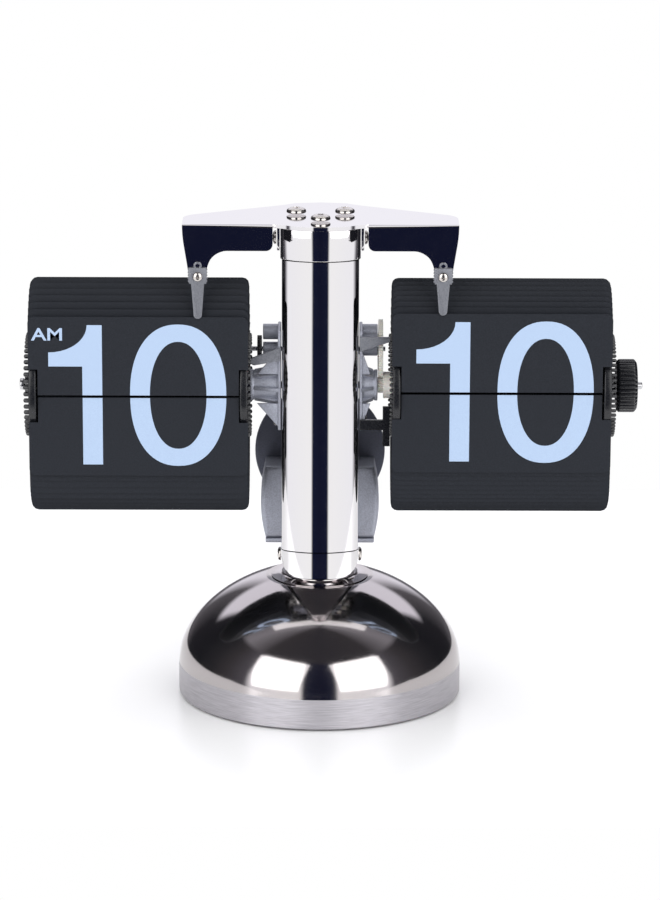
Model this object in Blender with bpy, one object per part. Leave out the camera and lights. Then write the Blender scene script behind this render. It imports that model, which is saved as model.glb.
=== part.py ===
"""Flip number clock: a domed base and a column carry two drums of number leaves.

The hour unit is on the left and the minute unit on the right of one fixed axle rod.
Sizes are in metres. +X is to the right, +Y to the back and +Z up. The origin is the
centre of the foot pad's underside.
"""
import math

import bmesh
import bpy
from mathutils import Matrix, Vector

for old_object in list(bpy.data.objects):
    bpy.data.objects.remove(old_object, do_unlink=True)

MM = 0.001

# ---------------------------------------------------------------- driving dimensions
GAP = 0.3 * MM                   # air between any two separate pieces
RUNNING = 0.3 * MM               # radial air between a shaft and its bore

BASE_RADIUS = 47.3 * MM
BASE_RIM_LIFT = 0.5 * MM
BASE_BAND_TOP = 10.7 * MM
BASE_WALL = 1.2 * MM
DOME_RISE = 32.2 * MM            # height the dome would reach over its centre, above the band
DOME_POWER = 1.9                 # 2 is an ellipse, more is fuller
DOME_TOP_RADIUS = 18.0 * MM      # of the flat that the neck stands on
PAD_THICKNESS = 1.2 * MM
PAD_INSET = 2.0 * MM
PLATE_THICKNESS = 2.0 * MM
WEIGHT_HEIGHT = 9.0 * MM
WEIGHT_INSET = 1.5 * MM
BASE_BOLT_RADIUS = 3.0 * MM
BASE_BOLT_HEAD_RADIUS = 5.0 * MM
BASE_BOLT_HEAD_HEIGHT = 1.2 * MM
NUT_RADIUS = 5.5 * MM
NUT_HEIGHT = 4.0 * MM

NECK_FOOT_RADIUS = 16.2 * MM
NECK_TOP_RADIUS = 12.2 * MM
NECK_HEIGHT = 1.1 * MM

COLUMN_WIDTH = 25.4 * MM
COLUMN_FRONT = 12.0 * MM         # from the drum axis forward to the column's front
COLUMN_BACK = 10.0 * MM
COLUMN_FRONT_RADIUS = 22.2 * MM
COLUMN_CORNER = 2.6 * MM
COLUMN_WALL = 1.0 * MM
BAR_CLEARANCE = 17.7 * MM         # from a leaf's reach above the axis up to the tube's top
FOOT_HEIGHT = 8.8 * MM
FOOT_RIM_HEIGHT = 1.0 * MM
FOOT_RIM_PROUD = 0.35 * MM
SPIGOT_HEIGHT = 5.0 * MM
CAP_HEIGHT = 11.4 * MM
CAP_PROUD = 0.5 * MM
AXIS_ABOVE_TUBE_FOOT = 54.6 * MM

BAR_HALF_WIDTH = 45.1 * MM
BAR_THICKNESS = 1.5 * MM
STOP_AHEAD = 0.25 * MM           # how far the skirts stand ahead of the leaf pins
BAR_LIP = 4.0 * MM               # how far the bowed lip over the column stands forward
BAR_LIP_HALF = 12.0 * MM
BAR_END_BACK = -0.8 * MM
BAR_SHOULDER_BACK = 17.5 * MM
BAR_CENTRE_BACK = 22.0 * MM
BAR_CENTRE_HALF = 11.0 * MM
SKIRT_THICKNESS = 1.2 * MM
SKIRT_DROP = 7.0 * MM
LEG_DROP = 19.4 * MM
LEG_INNER = 37.7 * MM
LEG_OUTER = 42.4 * MM
TAB_THICKNESS = 0.8 * MM
TAB_DROP = 10.0 * MM
TAB_HALF_DEPTH = 4.5 * MM

PAN_HEAD_RADIUS = 3.25 * MM
PAN_HEAD_HEIGHT = 2.0 * MM
PAN_SHANK_RADIUS = 1.5 * MM
SIDE_HEAD_RADIUS = 2.3 * MM
SIDE_HEAD_HEIGHT = 1.2 * MM
SIDE_SHANK_RADIUS = 1.0 * MM
SMALL_HEAD_RADIUS = 1.6 * MM
SMALL_HEAD_HEIGHT = 1.0 * MM
SMALL_SHANK_RADIUS = 0.8 * MM

AXLE_RADIUS = 1.2 * MM
AXLE_TIP = 1.9 * MM              # how far the axle stands out of the knob
AXLE_HEAD_RADIUS = 1.95 * MM
AXLE_HEAD_WIDTH = 1.4 * MM

LEAF_WIDTH = 72.2 * MM
LEAF_REACH = 26.1 * MM           # from a leaf's pins to its far edge
LEAF_HEEL = 0.3 * MM             # from a leaf's pins to its near edge
LEAF_THICKNESS = 0.4 * MM
UNIT_INNER = 23.6 * MM           # from the clock's middle to a unit's inner edge
PIN_CIRCLE = 16.5 * MM
DISC_RIM = 1.1 * MM              # disc left outside the circle of pins
DISC_WIDTH = 2.5 * MM
CORE_RADIUS = 8.0 * MM
HUB_RADIUS = 3.4 * MM
HOUR_LEAVES = 48
MINUTE_LEAVES = 60
HOUR_SPLIT = -0.30 * MM          # split line's height above the drum axis
MINUTE_SPLIT = 1.05 * MM
SPLIT_GAP = 0.95 * MM
NOTCH_HEIGHT = 8.7 * MM          # least height of a leaf's corner notch from the split line

HUB_LENGTH = 2.1 * MM            # drum hub from the leaves' outer edge towards the knob
KNOB_RADIUS = 8.85 * MM
KNOB_WIDTH = 6.8 * MM
KNOB_FLUTES = 36
KNOB_FLUTE_DEPTH = 0.45 * MM

CLIP_THICKNESS = 0.5 * MM
CLIP_PLATE = 5.5 * MM
CLIP_TOP_WIDTH = 4.2 * MM
CLIP_TIP_WIDTH = 2.4 * MM

FINE_MODULE = 0.3 * MM
HOUR_STEP_TEETH = (10, 60)       # transfer pinion and hour gear
MINUTE_STEP_TEETH = (16, 64)     # minute pinion and transfer wheel
MOTOR_TEETH = 40
TOOTH_BACKLASH = 0.12 * MM
TRANSFER_LIFT = math.radians(73.4)
MOTOR_LIFT = math.radians(-17.0)
GEAR_WIDTH = 1.5 * MM
WHEEL_STATION = 19.3 * MM        # inner side of the wheels on the right
ARBOR_RADIUS = 0.8 * MM
COLLAR_RADIUS = 4.5 * MM
COLLAR_TEETH = 30
COLLAR_STATION = 19.4 * MM

ARM_FLANGE = 1.0 * MM
ARM_FLANGE_FRONT = 6.7 * MM
ARM_FLANGE_BACK = 7.0 * MM
ARM_FLANGE_TOP = 20.0 * MM       # above the drum axis
ARM_FLANGE_BOTTOM = 14.0 * MM
ARM_SCREW_DROP = 11.6 * MM
BOSS_ROOT_RADIUS = 5.4 * MM
BOSS_TIP_RADIUS = 4.4 * MM
GUSSET_RISE = 9.4 * MM
GUSSET_THICKNESS = 1.4 * MM
STUB_RADIUS = 2.3 * MM
UPPER_STUB_RADIUS = 2.6 * MM
UPPER_STUB_RISE = 17.3 * MM
STUB_END = 19.0 * MM

CASE_BACK = 26.0 * MM
CASE_WALL = 1.2 * MM
CASE_HALF_WIDTH = 12.4 * MM
CASE_ABOVE_AXIS = 20.0 * MM
CASE_BELOW_AXIS = 28.0 * MM
MOTOR_RADIUS = 5.9 * MM
MOTOR_LENGTH = 19.0 * MM
BATTERY_HALF_WIDTH = 19.9 * MM
BATTERY_BULGE = 1.6 * MM
BATTERY_TOP_DROP = 31.0 * MM     # below the drum axis
BATTERY_HEIGHT = 24.7 * MM
CELL_RADIUS = 6.0 * MM
CELL_LENGTH = 30.2 * MM
CONTACT_THICKNESS = 0.8 * MM
DOOR_THICKNESS = 1.5 * MM
COVER_RADIUS = 22.0 * MM
COVER_THICKNESS = 2.0 * MM
COVER_DROP = 29.0 * MM           # its centre below the drum axis

# ---------------------------------------------------------------- heights that follow
PLATE_FOOT = PAD_THICKNESS + GAP
WEIGHT_FOOT = PLATE_FOOT + PLATE_THICKNESS + GAP
DOME_TOP = BASE_BAND_TOP + DOME_RISE * (
    1 - (DOME_TOP_RADIUS / BASE_RADIUS) ** DOME_POWER) ** (1 / DOME_POWER)
NECK_FOOT = DOME_TOP + GAP
COLUMN_FOOT_Z = NECK_FOOT + NECK_HEIGHT + GAP
FOOT_TOP = COLUMN_FOOT_Z + FOOT_HEIGHT
TUBE_FOOT = FOOT_TOP + GAP
TUBE_TOP = TUBE_FOOT + AXIS_ABOVE_TUBE_FOOT + LEAF_REACH + BAR_CLEARANCE
CAP_FOOT = TUBE_TOP + GAP
CAP_TOP = CAP_FOOT + CAP_HEIGHT
BAR_FOOT = CAP_TOP + GAP
BAR_TOP = BAR_FOOT + BAR_THICKNESS
AXIS_Z = TUBE_FOOT + AXIS_ABOVE_TUBE_FOOT
UNIT_OUTER = UNIT_INNER + LEAF_WIDTH
KNOB_STATION = UNIT_OUTER + HUB_LENGTH + GAP    # the axle's head stands as far out
AXLE_RIGHT_END = KNOB_STATION + KNOB_WIDTH + AXLE_TIP
DISC_RADIUS = PIN_CIRCLE + DISC_RIM
BAR_FRONT = PIN_CIRCLE + STOP_AHEAD
HALF_COLUMN = COLUMN_WIDTH / 2
TRANSFER_DISTANCE = FINE_MODULE * sum(MINUTE_STEP_TEETH) / 2
HOUR_MODULE = 2 * TRANSFER_DISTANCE / sum(HOUR_STEP_TEETH)
TRANSFER_Y = TRANSFER_DISTANCE * math.cos(TRANSFER_LIFT)
TRANSFER_Z = AXIS_Z + TRANSFER_DISTANCE * math.sin(TRANSFER_LIFT)
MOTOR_DISTANCE = FINE_MODULE * (MINUTE_STEP_TEETH[1] + MOTOR_TEETH) / 2
MOTOR_Y = TRANSFER_Y + MOTOR_DISTANCE * math.cos(MOTOR_LIFT)
MOTOR_Z = TRANSFER_Z + MOTOR_DISTANCE * math.sin(MOTOR_LIFT)
CASE_FRONT = COLUMN_BACK + FOOT_RIM_PROUD + GAP
BATTERY_TOP = AXIS_Z - BATTERY_TOP_DROP
BATTERY_FOOT = BATTERY_TOP - BATTERY_HEIGHT


# ---------------------------------------------------------------- materials
def material(name, red, green, blue, roughness, metallic):
    made = bpy.data.materials.new(name)
    made.use_nodes = True
    shader = made.node_tree.nodes["Principled BSDF"]
    shader.inputs["Base Color"].default_value = (red, green, blue, 1.0)
    shader.inputs["Roughness"].default_value = roughness
    shader.inputs["Metallic"].default_value = metallic
    return made


CHROME = material("polished_chrome", 0.78, 0.77, 0.75, 0.06, 1.0)
STEEL = material("brushed_steel", 0.55, 0.54, 0.53, 0.30, 1.0)
SCREW_STEEL = material("screw_steel", 0.60, 0.60, 0.60, 0.22, 1.0)
SPRING_STEEL = material("spring_steel", 0.40, 0.41, 0.43, 0.40, 1.0)
IRON = material("cast_iron", 0.10, 0.10, 0.10, 0.60, 1.0)
FELT = material("foot_rubber", 0.03, 0.03, 0.03, 0.85, 0.0)
SILVER_PLASTIC = material("silver_plastic", 0.42, 0.43, 0.47, 0.38, 0.3)
GREY_PLASTIC = material("grey_plastic", 0.20, 0.20, 0.23, 0.45, 0.0)
WHITE_ACETAL = material("white_acetal", 0.75, 0.74, 0.70, 0.35, 0.0)
BLACK_PLASTIC = material("black_plastic", 0.012, 0.012, 0.014, 0.20, 0.0)
LEAF_PLASTIC = material("leaf_plastic", 0.028, 0.032, 0.042, 0.55, 0.0)
CELL_JACKET = material("cell_jacket", 0.25, 0.20, 0.08, 0.35, 0.6)
BRASS = material("brass", 0.60, 0.42, 0.16, 0.30, 1.0)


# ---------------------------------------------------------------- mesh helpers
def new_object(name, mesh_builder, finish, origin=(0.0, 0.0, 0.0), smooth_angle=35.0):
    """Turn a bmesh in world coordinates into an object whose origin is `origin`."""
    bmesh.ops.recalc_face_normals(mesh_builder, faces=mesh_builder.faces[:])
    bmesh.ops.translate(mesh_builder, vec=-Vector(origin), verts=mesh_builder.verts[:])
    mesh = bpy.data.meshes.new(name)
    mesh_builder.to_mesh(mesh)
    mesh_builder.free()
    made = bpy.data.objects.new(name, mesh)
    made.location = origin
    bpy.context.scene.collection.objects.link(made)
    if finish is not None:
        mesh.materials.append(finish)
    mesh.shade_smooth()
    mesh.set_sharp_from_angle(angle=math.radians(smooth_angle))
    return made


def hidden_tool(name, mesh_builder):
    """A shape that only cuts or joins; the viewport shows it as wire."""
    made = new_object(name, mesh_builder, None)
    made.hide_render = True
    made.display_type = "WIRE"
    return made


def combine(target, tool, operation):
    modifier = target.modifiers.new(tool.name, "BOOLEAN")
    modifier.operation = operation
    modifier.solver = "EXACT"
    modifier.object = tool


def cut(target, *tools):
    for tool in tools:
        combine(target, tool, "DIFFERENCE")


def join(target, *tools):
    for tool in tools:
        combine(target, tool, "UNION")


AXIS_TURNS = {
    "Z": Matrix.Identity(4),
    "X": Matrix.Rotation(math.radians(90), 4, "Y"),
    "Y": Matrix.Rotation(math.radians(-90), 4, "X"),
}


def turned(profile, axis="Z", centre=(0.0, 0.0, 0.0), steps=32):
    """Spin (radius, height) points about an axis; the height runs along +axis.

    A profile that starts and ends on the axis makes a solid; any other is a closed loop
    and makes a ring.
    """
    builder = bmesh.new()
    verts = [builder.verts.new((radius, 0.0, height)) for radius, height in profile]
    edges = [builder.edges.new(pair) for pair in zip(verts, verts[1:])]
    if profile[0][0] > 0.0:
        edges.append(builder.edges.new((verts[-1], verts[0])))
    bmesh.ops.spin(builder, geom=verts + edges, cent=(0, 0, 0), axis=(0, 0, 1),
                   angle=math.tau, steps=steps, use_merge=True)
    bmesh.ops.remove_doubles(builder, verts=builder.verts[:], dist=1e-7)
    place = Matrix.Translation(centre) @ AXIS_TURNS[axis]
    bmesh.ops.transform(builder, matrix=place, verts=builder.verts[:])
    return builder


def cylinder(radius, start, end, axis="Z", centre=(0.0, 0.0), steps=24):
    """A plain cylinder along an axis, between two stations, about a point across it."""
    across = {"X": (0.0, *centre), "Y": (centre[0], 0.0, centre[1]), "Z": (*centre, 0.0)}
    low, high = sorted((start, end))
    return turned([(0.0, low), (radius, low), (radius, high), (0.0, high)],
                  axis, across[axis], steps)


def ring(inner, outer, start, end, axis="X", centre=(0.0, 0.0), steps=32):
    across = {"X": (0.0, *centre), "Y": (centre[0], 0.0, centre[1]), "Z": (*centre, 0.0)}
    low, high = sorted((start, end))
    return turned([(inner, low), (outer, low), (outer, high), (inner, high)],
                  axis, across[axis], steps)


def prism(points, axis, start, end):
    """Extrude a flat outline along an axis, from one station to another.

    The outline is (y, z) for X, (x, z) for Y and (x, y) for Z.
    """
    low, high = sorted((start, end))
    spots = {
        "X": lambda a, b: (low, a, b),
        "Y": lambda a, b: (a, low, b),
        "Z": lambda a, b: (a, b, low),
    }
    travel = {"X": (high - low, 0, 0), "Y": (0, high - low, 0), "Z": (0, 0, high - low)}
    builder = bmesh.new()
    verts = [builder.verts.new(spots[axis](a, b)) for a, b in points]
    face = builder.faces.new(verts)
    grown = bmesh.ops.extrude_face_region(builder, geom=[face])
    moved = [item for item in grown["geom"] if isinstance(item, bmesh.types.BMVert)]
    bmesh.ops.translate(builder, vec=travel[axis], verts=moved)
    return builder


def together(*builders):
    """Several separate shapes as one bmesh, so that one Boolean cuts or joins them all."""
    whole = bmesh.new()
    for builder in builders:
        spare = bpy.data.meshes.new("spare")
        builder.to_mesh(spare)
        builder.free()
        whole.from_mesh(spare)
        bpy.data.meshes.remove(spare)
    return whole


def box(low, high):
    return prism([(low[0], low[1]), (high[0], low[1]), (high[0], high[1]), (low[0], high[1])],
                 "Z", low[2], high[2])


def arc(centre, radius, start_deg, end_deg, steps):
    """Points on an arc, with 0 degrees along the first coordinate."""
    spots = []
    for step in range(steps + 1):
        angle = math.radians(start_deg + (end_deg - start_deg) * step / steps)
        spots.append((centre[0] + radius * math.cos(angle),
                      centre[1] + radius * math.sin(angle)))
    return spots


def mirrored(points):
    return [(-a, b) for a, b in reversed(points)]


# ---------------------------------------------------------------- base
def dome_profile(radius, rise, foot, top_radius, steps=10):
    """Band and dome from the rim up to the flat top, as (radius, height) points."""
    last = math.acos((top_radius / radius) ** (DOME_POWER / 2))
    points = [(radius, foot)]
    for step in range(steps + 1):
        angle = last * step / steps
        points.append((radius * math.cos(angle) ** (2 / DOME_POWER),
                       BASE_BAND_TOP + rise * math.sin(angle) ** (2 / DOME_POWER)))
    return points


outer_shell = dome_profile(BASE_RADIUS, DOME_RISE, BASE_RIM_LIFT, DOME_TOP_RADIUS)
inner_shell = dome_profile(BASE_RADIUS - BASE_WALL, DOME_RISE - BASE_WALL, BASE_RIM_LIFT,
                           DOME_TOP_RADIUS)
bolt_bore = BASE_BOLT_RADIUS + RUNNING
dome_loop = outer_shell + [(bolt_bore, DOME_TOP), (bolt_bore, DOME_TOP - BASE_WALL)]
dome_loop += list(reversed(inner_shell))
new_object("base_dome", turned(dome_loop, steps=40), CHROME)

inside_radius = BASE_RADIUS - BASE_WALL - GAP
new_object("base_foot_pad", cylinder(BASE_RADIUS - PAD_INSET, 0.0, PAD_THICKNESS, steps=40),
           FELT)
head_bore = BASE_BOLT_HEAD_RADIUS + GAP
new_object("base_plate",
           ring(bolt_bore, inside_radius, PLATE_FOOT, PLATE_FOOT + PLATE_THICKNESS, "Z",
                steps=40), STEEL)
weight_bore_top = WEIGHT_FOOT + BASE_BOLT_HEAD_HEIGHT + GAP
new_object("base_weight",
           turned([(head_bore, WEIGHT_FOOT), (inside_radius - WEIGHT_INSET, WEIGHT_FOOT),
                   (inside_radius - WEIGHT_INSET, WEIGHT_FOOT + WEIGHT_HEIGHT),
                   (bolt_bore, WEIGHT_FOOT + WEIGHT_HEIGHT), (bolt_bore, weight_bore_top),
                   (head_bore, weight_bore_top)], steps=36), IRON)

bolt_top = COLUMN_FOOT_Z + FOOT_HEIGHT - GAP
nut_foot = COLUMN_FOOT_Z + FOOT_RIM_HEIGHT * 3
new_object("base_bolt",
           turned([(0.0, WEIGHT_FOOT), (BASE_BOLT_HEAD_RADIUS, WEIGHT_FOOT),
                   (BASE_BOLT_HEAD_RADIUS, WEIGHT_FOOT + BASE_BOLT_HEAD_HEIGHT),
                   (BASE_BOLT_RADIUS, WEIGHT_FOOT + BASE_BOLT_HEAD_HEIGHT),
                   (BASE_BOLT_RADIUS, bolt_top), (0.0, bolt_top)], steps=20), SCREW_STEEL)
nut = new_object("base_nut", cylinder(NUT_RADIUS, nut_foot, nut_foot + NUT_HEIGHT, steps=6),
                 SCREW_STEEL)
cut(nut, hidden_tool("base_nut_bore", cylinder(bolt_bore, nut_foot - MM,
                                               nut_foot + NUT_HEIGHT + MM, steps=20)))

neck_edge = 0.3 * MM
new_object("neck_collar",
           turned([(bolt_bore, NECK_FOOT), (NECK_FOOT_RADIUS, NECK_FOOT),
                   (NECK_FOOT_RADIUS, NECK_FOOT + neck_edge),
                   (NECK_TOP_RADIUS, NECK_FOOT + NECK_HEIGHT),
                   (bolt_bore, NECK_FOOT + NECK_HEIGHT)], steps=32), CHROME)


# ---------------------------------------------------------------- column
def column_outline(grow):
    """The column's section, (x, y), grown outwards by `grow` (inwards if negative)."""
    half = HALF_COLUMN + grow
    back = COLUMN_BACK + grow
    bow = COLUMN_FRONT_RADIUS + grow
    bow_centre = COLUMN_FRONT_RADIUS - COLUMN_FRONT
    corner = max(COLUMN_CORNER + grow, 0.8 * MM)
    reach = bow - corner
    corner_y = bow_centre - math.sqrt(reach * reach - (half - corner) ** 2)
    touch = math.degrees(math.atan2(corner_y - bow_centre, half - corner))
    right = arc((half - corner, corner_y), corner, touch, 0.0, 4)
    right += arc((half - corner, back - corner), corner, 0.0, 90.0, 4)
    front = arc((0.0, bow_centre), bow, -180.0 - touch, touch, 8)[1:-1]
    return front + right + mirrored(right)


foot = new_object("column_foot", prism(column_outline(0.0), "Z", COLUMN_FOOT_Z, FOOT_TOP),
                  CHROME)
join(foot,
     hidden_tool("foot_rim", prism(column_outline(FOOT_RIM_PROUD), "Z",
                                   FOOT_TOP - FOOT_RIM_HEIGHT, FOOT_TOP)),
     hidden_tool("foot_spigot", prism(column_outline(-COLUMN_WALL - GAP), "Z",
                                      FOOT_TOP - FOOT_RIM_HEIGHT, FOOT_TOP + SPIGOT_HEIGHT)))
foot_screw_z = FOOT_TOP - FOOT_RIM_HEIGHT - SIDE_HEAD_RADIUS
side_bore = SIDE_SHANK_RADIUS + RUNNING
foot_screw_reach = 4.0 * MM
cut(foot,
    hidden_tool("foot_nut_well", cylinder(NUT_RADIUS + GAP, nut_foot - GAP,
                                          FOOT_TOP + SPIGOT_HEIGHT + MM, steps=24)),
    hidden_tool("foot_bolt_bore", cylinder(bolt_bore, COLUMN_FOOT_Z - MM, nut_foot + MM,
                                           steps=20)))
for side, sign in (("left", -1), ("right", 1)):
    cut(foot, hidden_tool("foot_side_bore_" + side,
                          cylinder(side_bore, sign * (HALF_COLUMN + MM),
                                   sign * (HALF_COLUMN - foot_screw_reach - GAP), "X",
                                   (0.0, foot_screw_z), 12)))

tube = new_object("column_tube", prism(column_outline(0.0), "Z", TUBE_FOOT, TUBE_TOP), CHROME)
arm_screw_z = AXIS_Z - ARM_SCREW_DROP
cut(tube,
    hidden_tool("tube_inside", prism(column_outline(-COLUMN_WALL), "Z", TUBE_FOOT - MM,
                                     TUBE_TOP + MM)),
    hidden_tool("tube_axle_hole", cylinder(AXLE_RADIUS + RUNNING, -HALF_COLUMN - MM,
                                           HALF_COLUMN + MM, "X", (0.0, AXIS_Z), 16)),
    hidden_tool("tube_arbor_hole", cylinder(ARBOR_RADIUS + RUNNING, -HALF_COLUMN - MM,
                                            HALF_COLUMN + MM, "X",
                                            (TRANSFER_Y, TRANSFER_Z), 16)),
    hidden_tool("tube_arm_screw_hole", cylinder(side_bore, -HALF_COLUMN - MM,
                                                HALF_COLUMN + MM, "X",
                                                (0.0, arm_screw_z), 12)))

cap = new_object("column_cap", prism(column_outline(CAP_PROUD), "Z", CAP_FOOT, CAP_TOP),
                 CHROME)
join(cap, hidden_tool("cap_spigot", prism(column_outline(-COLUMN_WALL - GAP), "Z",
                                          CAP_FOOT - SPIGOT_HEIGHT, CAP_FOOT + MM)))
HALF_CAP = HALF_COLUMN + CAP_PROUD
cap_screw_z = CAP_TOP - 5.6 * MM
cap_screw_reach = 5.0 * MM
pan_bore = PAN_SHANK_RADIUS + RUNNING
pan_reach = 4.0 * MM
BAR_SCREW_SPOTS = {"left": (-8.0 * MM, 2.0 * MM), "right": (8.0 * MM, 2.0 * MM),
                   "front": (0.0, -9.8 * MM)}
for spot_name, spot in BAR_SCREW_SPOTS.items():
    cut(cap, hidden_tool("cap_top_bore_" + spot_name,
                         cylinder(pan_bore, CAP_TOP + MM, CAP_TOP - pan_reach - GAP, "Z",
                                  spot, 16)))
for side, sign in (("left", -1), ("right", 1)):
    cut(cap, hidden_tool("cap_side_bore_" + side,
                         cylinder(side_bore, sign * (HALF_CAP + MM),
                                  sign * (HALF_CAP - cap_screw_reach - GAP), "X",
                                  (0.0, cap_screw_z), 12)))


# ---------------------------------------------------------------- fasteners
def screw(name, seat, direction, head_radius, head_height, shank_radius, reach):
    """A pan-head screw: the head stands on `seat`, the shank runs the other way."""
    crown = 0.35 * head_height
    shoulder = head_radius * 0.72
    builder = turned([(0.0, -reach), (shank_radius, -reach), (shank_radius, 0.0),
                      (head_radius, 0.0), (head_radius, head_height - crown),
                      (shoulder, head_height), (0.0, head_height)], steps=16)
    turn = Vector((0, 0, 1)).rotation_difference(Vector(direction)).to_matrix().to_4x4()
    bmesh.ops.transform(builder, matrix=Matrix.Translation(seat) @ turn,
                        verts=builder.verts[:])
    return new_object(name, builder, SCREW_STEEL)


tab_outer = HALF_CAP + GAP + TAB_THICKNESS
for side, sign in (("left", -1), ("right", 1)):
    screw("column_foot_screw_" + side, (sign * (HALF_COLUMN + GAP), 0.0, foot_screw_z),
          (sign, 0, 0), SIDE_HEAD_RADIUS, SIDE_HEAD_HEIGHT, SIDE_SHANK_RADIUS,
          foot_screw_reach)
    screw("cap_screw_" + side, (sign * (tab_outer + GAP), 0.0, cap_screw_z), (sign, 0, 0),
          SIDE_HEAD_RADIUS, SIDE_HEAD_HEIGHT, SIDE_SHANK_RADIUS, cap_screw_reach)
for spot_name, spot in BAR_SCREW_SPOTS.items():
    screw("bar_screw_" + spot_name, (*spot, BAR_TOP + GAP), (0, 0, 1), PAN_HEAD_RADIUS,
          PAN_HEAD_HEIGHT, PAN_SHANK_RADIUS, BAR_THICKNESS + pan_reach)


# ---------------------------------------------------------------- top bar
lip_radius = (BAR_LIP_HALF ** 2 + BAR_LIP ** 2) / (2 * BAR_LIP)
lip_turn = math.degrees(math.asin(BAR_LIP_HALF / lip_radius))
right_half = arc((0.0, lip_radius - BAR_FRONT - BAR_LIP), lip_radius, -90.0, lip_turn - 90.0, 4)
right_half += [(BAR_HALF_WIDTH, -BAR_FRONT)]
right_half += arc((BAR_HALF_WIDTH - 3.0 * MM, BAR_END_BACK - 3.0 * MM), 3.0 * MM, 0.0, 80.0, 4)
right_half += [(BAR_CENTRE_HALF, BAR_SHOULDER_BACK)]
right_half += arc((0.0, BAR_CENTRE_BACK - 15.6 * MM), 15.6 * MM, 45.0, 90.0, 4)
plate_outline = right_half[:-1] + mirrored(right_half[1:])
bar = new_object("top_bar", prism(plate_outline, "Z", BAR_FOOT, BAR_TOP), CHROME)

skirt_foot = BAR_FOOT - SKIRT_DROP
leg_foot = BAR_TOP - LEG_DROP
skirt_inner = tab_outer + 0.8 * MM
skirt_right = [(skirt_inner, BAR_TOP), (skirt_inner, skirt_foot + 1.5 * MM),
               (skirt_inner + 1.5 * MM, skirt_foot)]
skirt_right += [(LEG_INNER - 4.0 * MM, skirt_foot), (LEG_INNER - 0.6 * MM, skirt_foot - 3.5 * MM),
                (LEG_INNER, leg_foot), (LEG_OUTER, leg_foot),
                (BAR_HALF_WIDTH, BAR_FOOT - 3.0 * MM), (BAR_HALF_WIDTH, BAR_TOP)]
clip_centre = (LEG_INNER + LEG_OUTER) / 2
clip_screw_z = leg_foot + CLIP_PLATE * 0.45
clip_bore = SMALL_SHANK_RADIUS + RUNNING
for side, outline, sign in (("right", skirt_right, 1), ("left", mirrored(skirt_right), -1)):
    join(bar,
         hidden_tool("bar_skirt_" + side, prism(outline, "Y", -BAR_FRONT,
                                                -BAR_FRONT + SKIRT_THICKNESS)),
         hidden_tool("bar_tab_" + side,
                     box((min(sign * (HALF_CAP + GAP), sign * tab_outer), -TAB_HALF_DEPTH,
                          BAR_FOOT - TAB_DROP),
                         (max(sign * (HALF_CAP + GAP), sign * tab_outer), TAB_HALF_DEPTH,
                          BAR_TOP - 0.2 * MM))))
    cut(bar,
        hidden_tool("bar_tab_bore_" + side,
                    cylinder(side_bore, sign * (HALF_CAP - MM), sign * (tab_outer + MM), "X",
                             (0.0, cap_screw_z), 12)),
        hidden_tool("bar_leg_bore_" + side,
                    cylinder(clip_bore, -BAR_FRONT - MM, -BAR_FRONT + SKIRT_THICKNESS + MM,
                             "Y", (sign * clip_centre, clip_screw_z), 12)))
for spot_name, spot in BAR_SCREW_SPOTS.items():
    cut(bar, hidden_tool("bar_bore_" + spot_name,
                         cylinder(pan_bore, BAR_FOOT - MM, BAR_TOP + MM, "Z", spot, 16)))


# ---------------------------------------------------------------- leaf stop springs
def pivot_height(split):
    """Height of the shown upper leaf's pins: just above the split line."""
    return AXIS_Z + split + SPLIT_GAP / 2 + LEAF_HEEL


for side, sign, split in (("left", -1, HOUR_SPLIT), ("right", 1, MINUTE_SPLIT)):
    tip_z = pivot_height(split) + LEAF_REACH + 2 * GAP
    plate_foot = leg_foot - 0.2 * MM
    half = CLIP_PLATE / 2
    outline_right = [(half, plate_foot + CLIP_PLATE), (half, plate_foot),
                     (CLIP_TOP_WIDTH / 2, plate_foot - 0.8 * MM)]
    outline_right += arc((0.0, tip_z + CLIP_TIP_WIDTH / 2), CLIP_TIP_WIDTH / 2, 0.0, -90.0, 4)
    outline = outline_right + mirrored(outline_right[:-1])
    centre_x = sign * clip_centre
    clip_back = -BAR_FRONT - GAP
    clip = new_object(side + "_leaf_stop",
                      prism([(centre_x + a, b) for a, b in outline], "Y",
                            clip_back - CLIP_THICKNESS, clip_back), SPRING_STEEL)
    cut(clip, hidden_tool(side + "_leaf_stop_hole",
                          cylinder(clip_bore, clip_back - MM, clip_back + MM, "Y",
                                   (centre_x, clip_screw_z), 12)))
    screw(side + "_leaf_stop_screw", (centre_x, clip_back - CLIP_THICKNESS - GAP, clip_screw_z),
          (0, -1, 0), SMALL_HEAD_RADIUS, SMALL_HEAD_HEIGHT, SMALL_SHANK_RADIUS,
          CLIP_THICKNESS + 2 * GAP + SKIRT_THICKNESS)


# ---------------------------------------------------------------- axle
axle_bore = AXLE_RADIUS + RUNNING
new_object("main_axle",
           turned([(0.0, -KNOB_STATION - AXLE_HEAD_WIDTH),
                   (AXLE_HEAD_RADIUS, -KNOB_STATION - AXLE_HEAD_WIDTH),
                   (AXLE_HEAD_RADIUS, -KNOB_STATION), (AXLE_RADIUS, -KNOB_STATION),
                   (AXLE_RADIUS, AXLE_RIGHT_END), (0.0, AXLE_RIGHT_END)], "X",
                  (0.0, 0.0, AXIS_Z), 20), STEEL)


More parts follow.
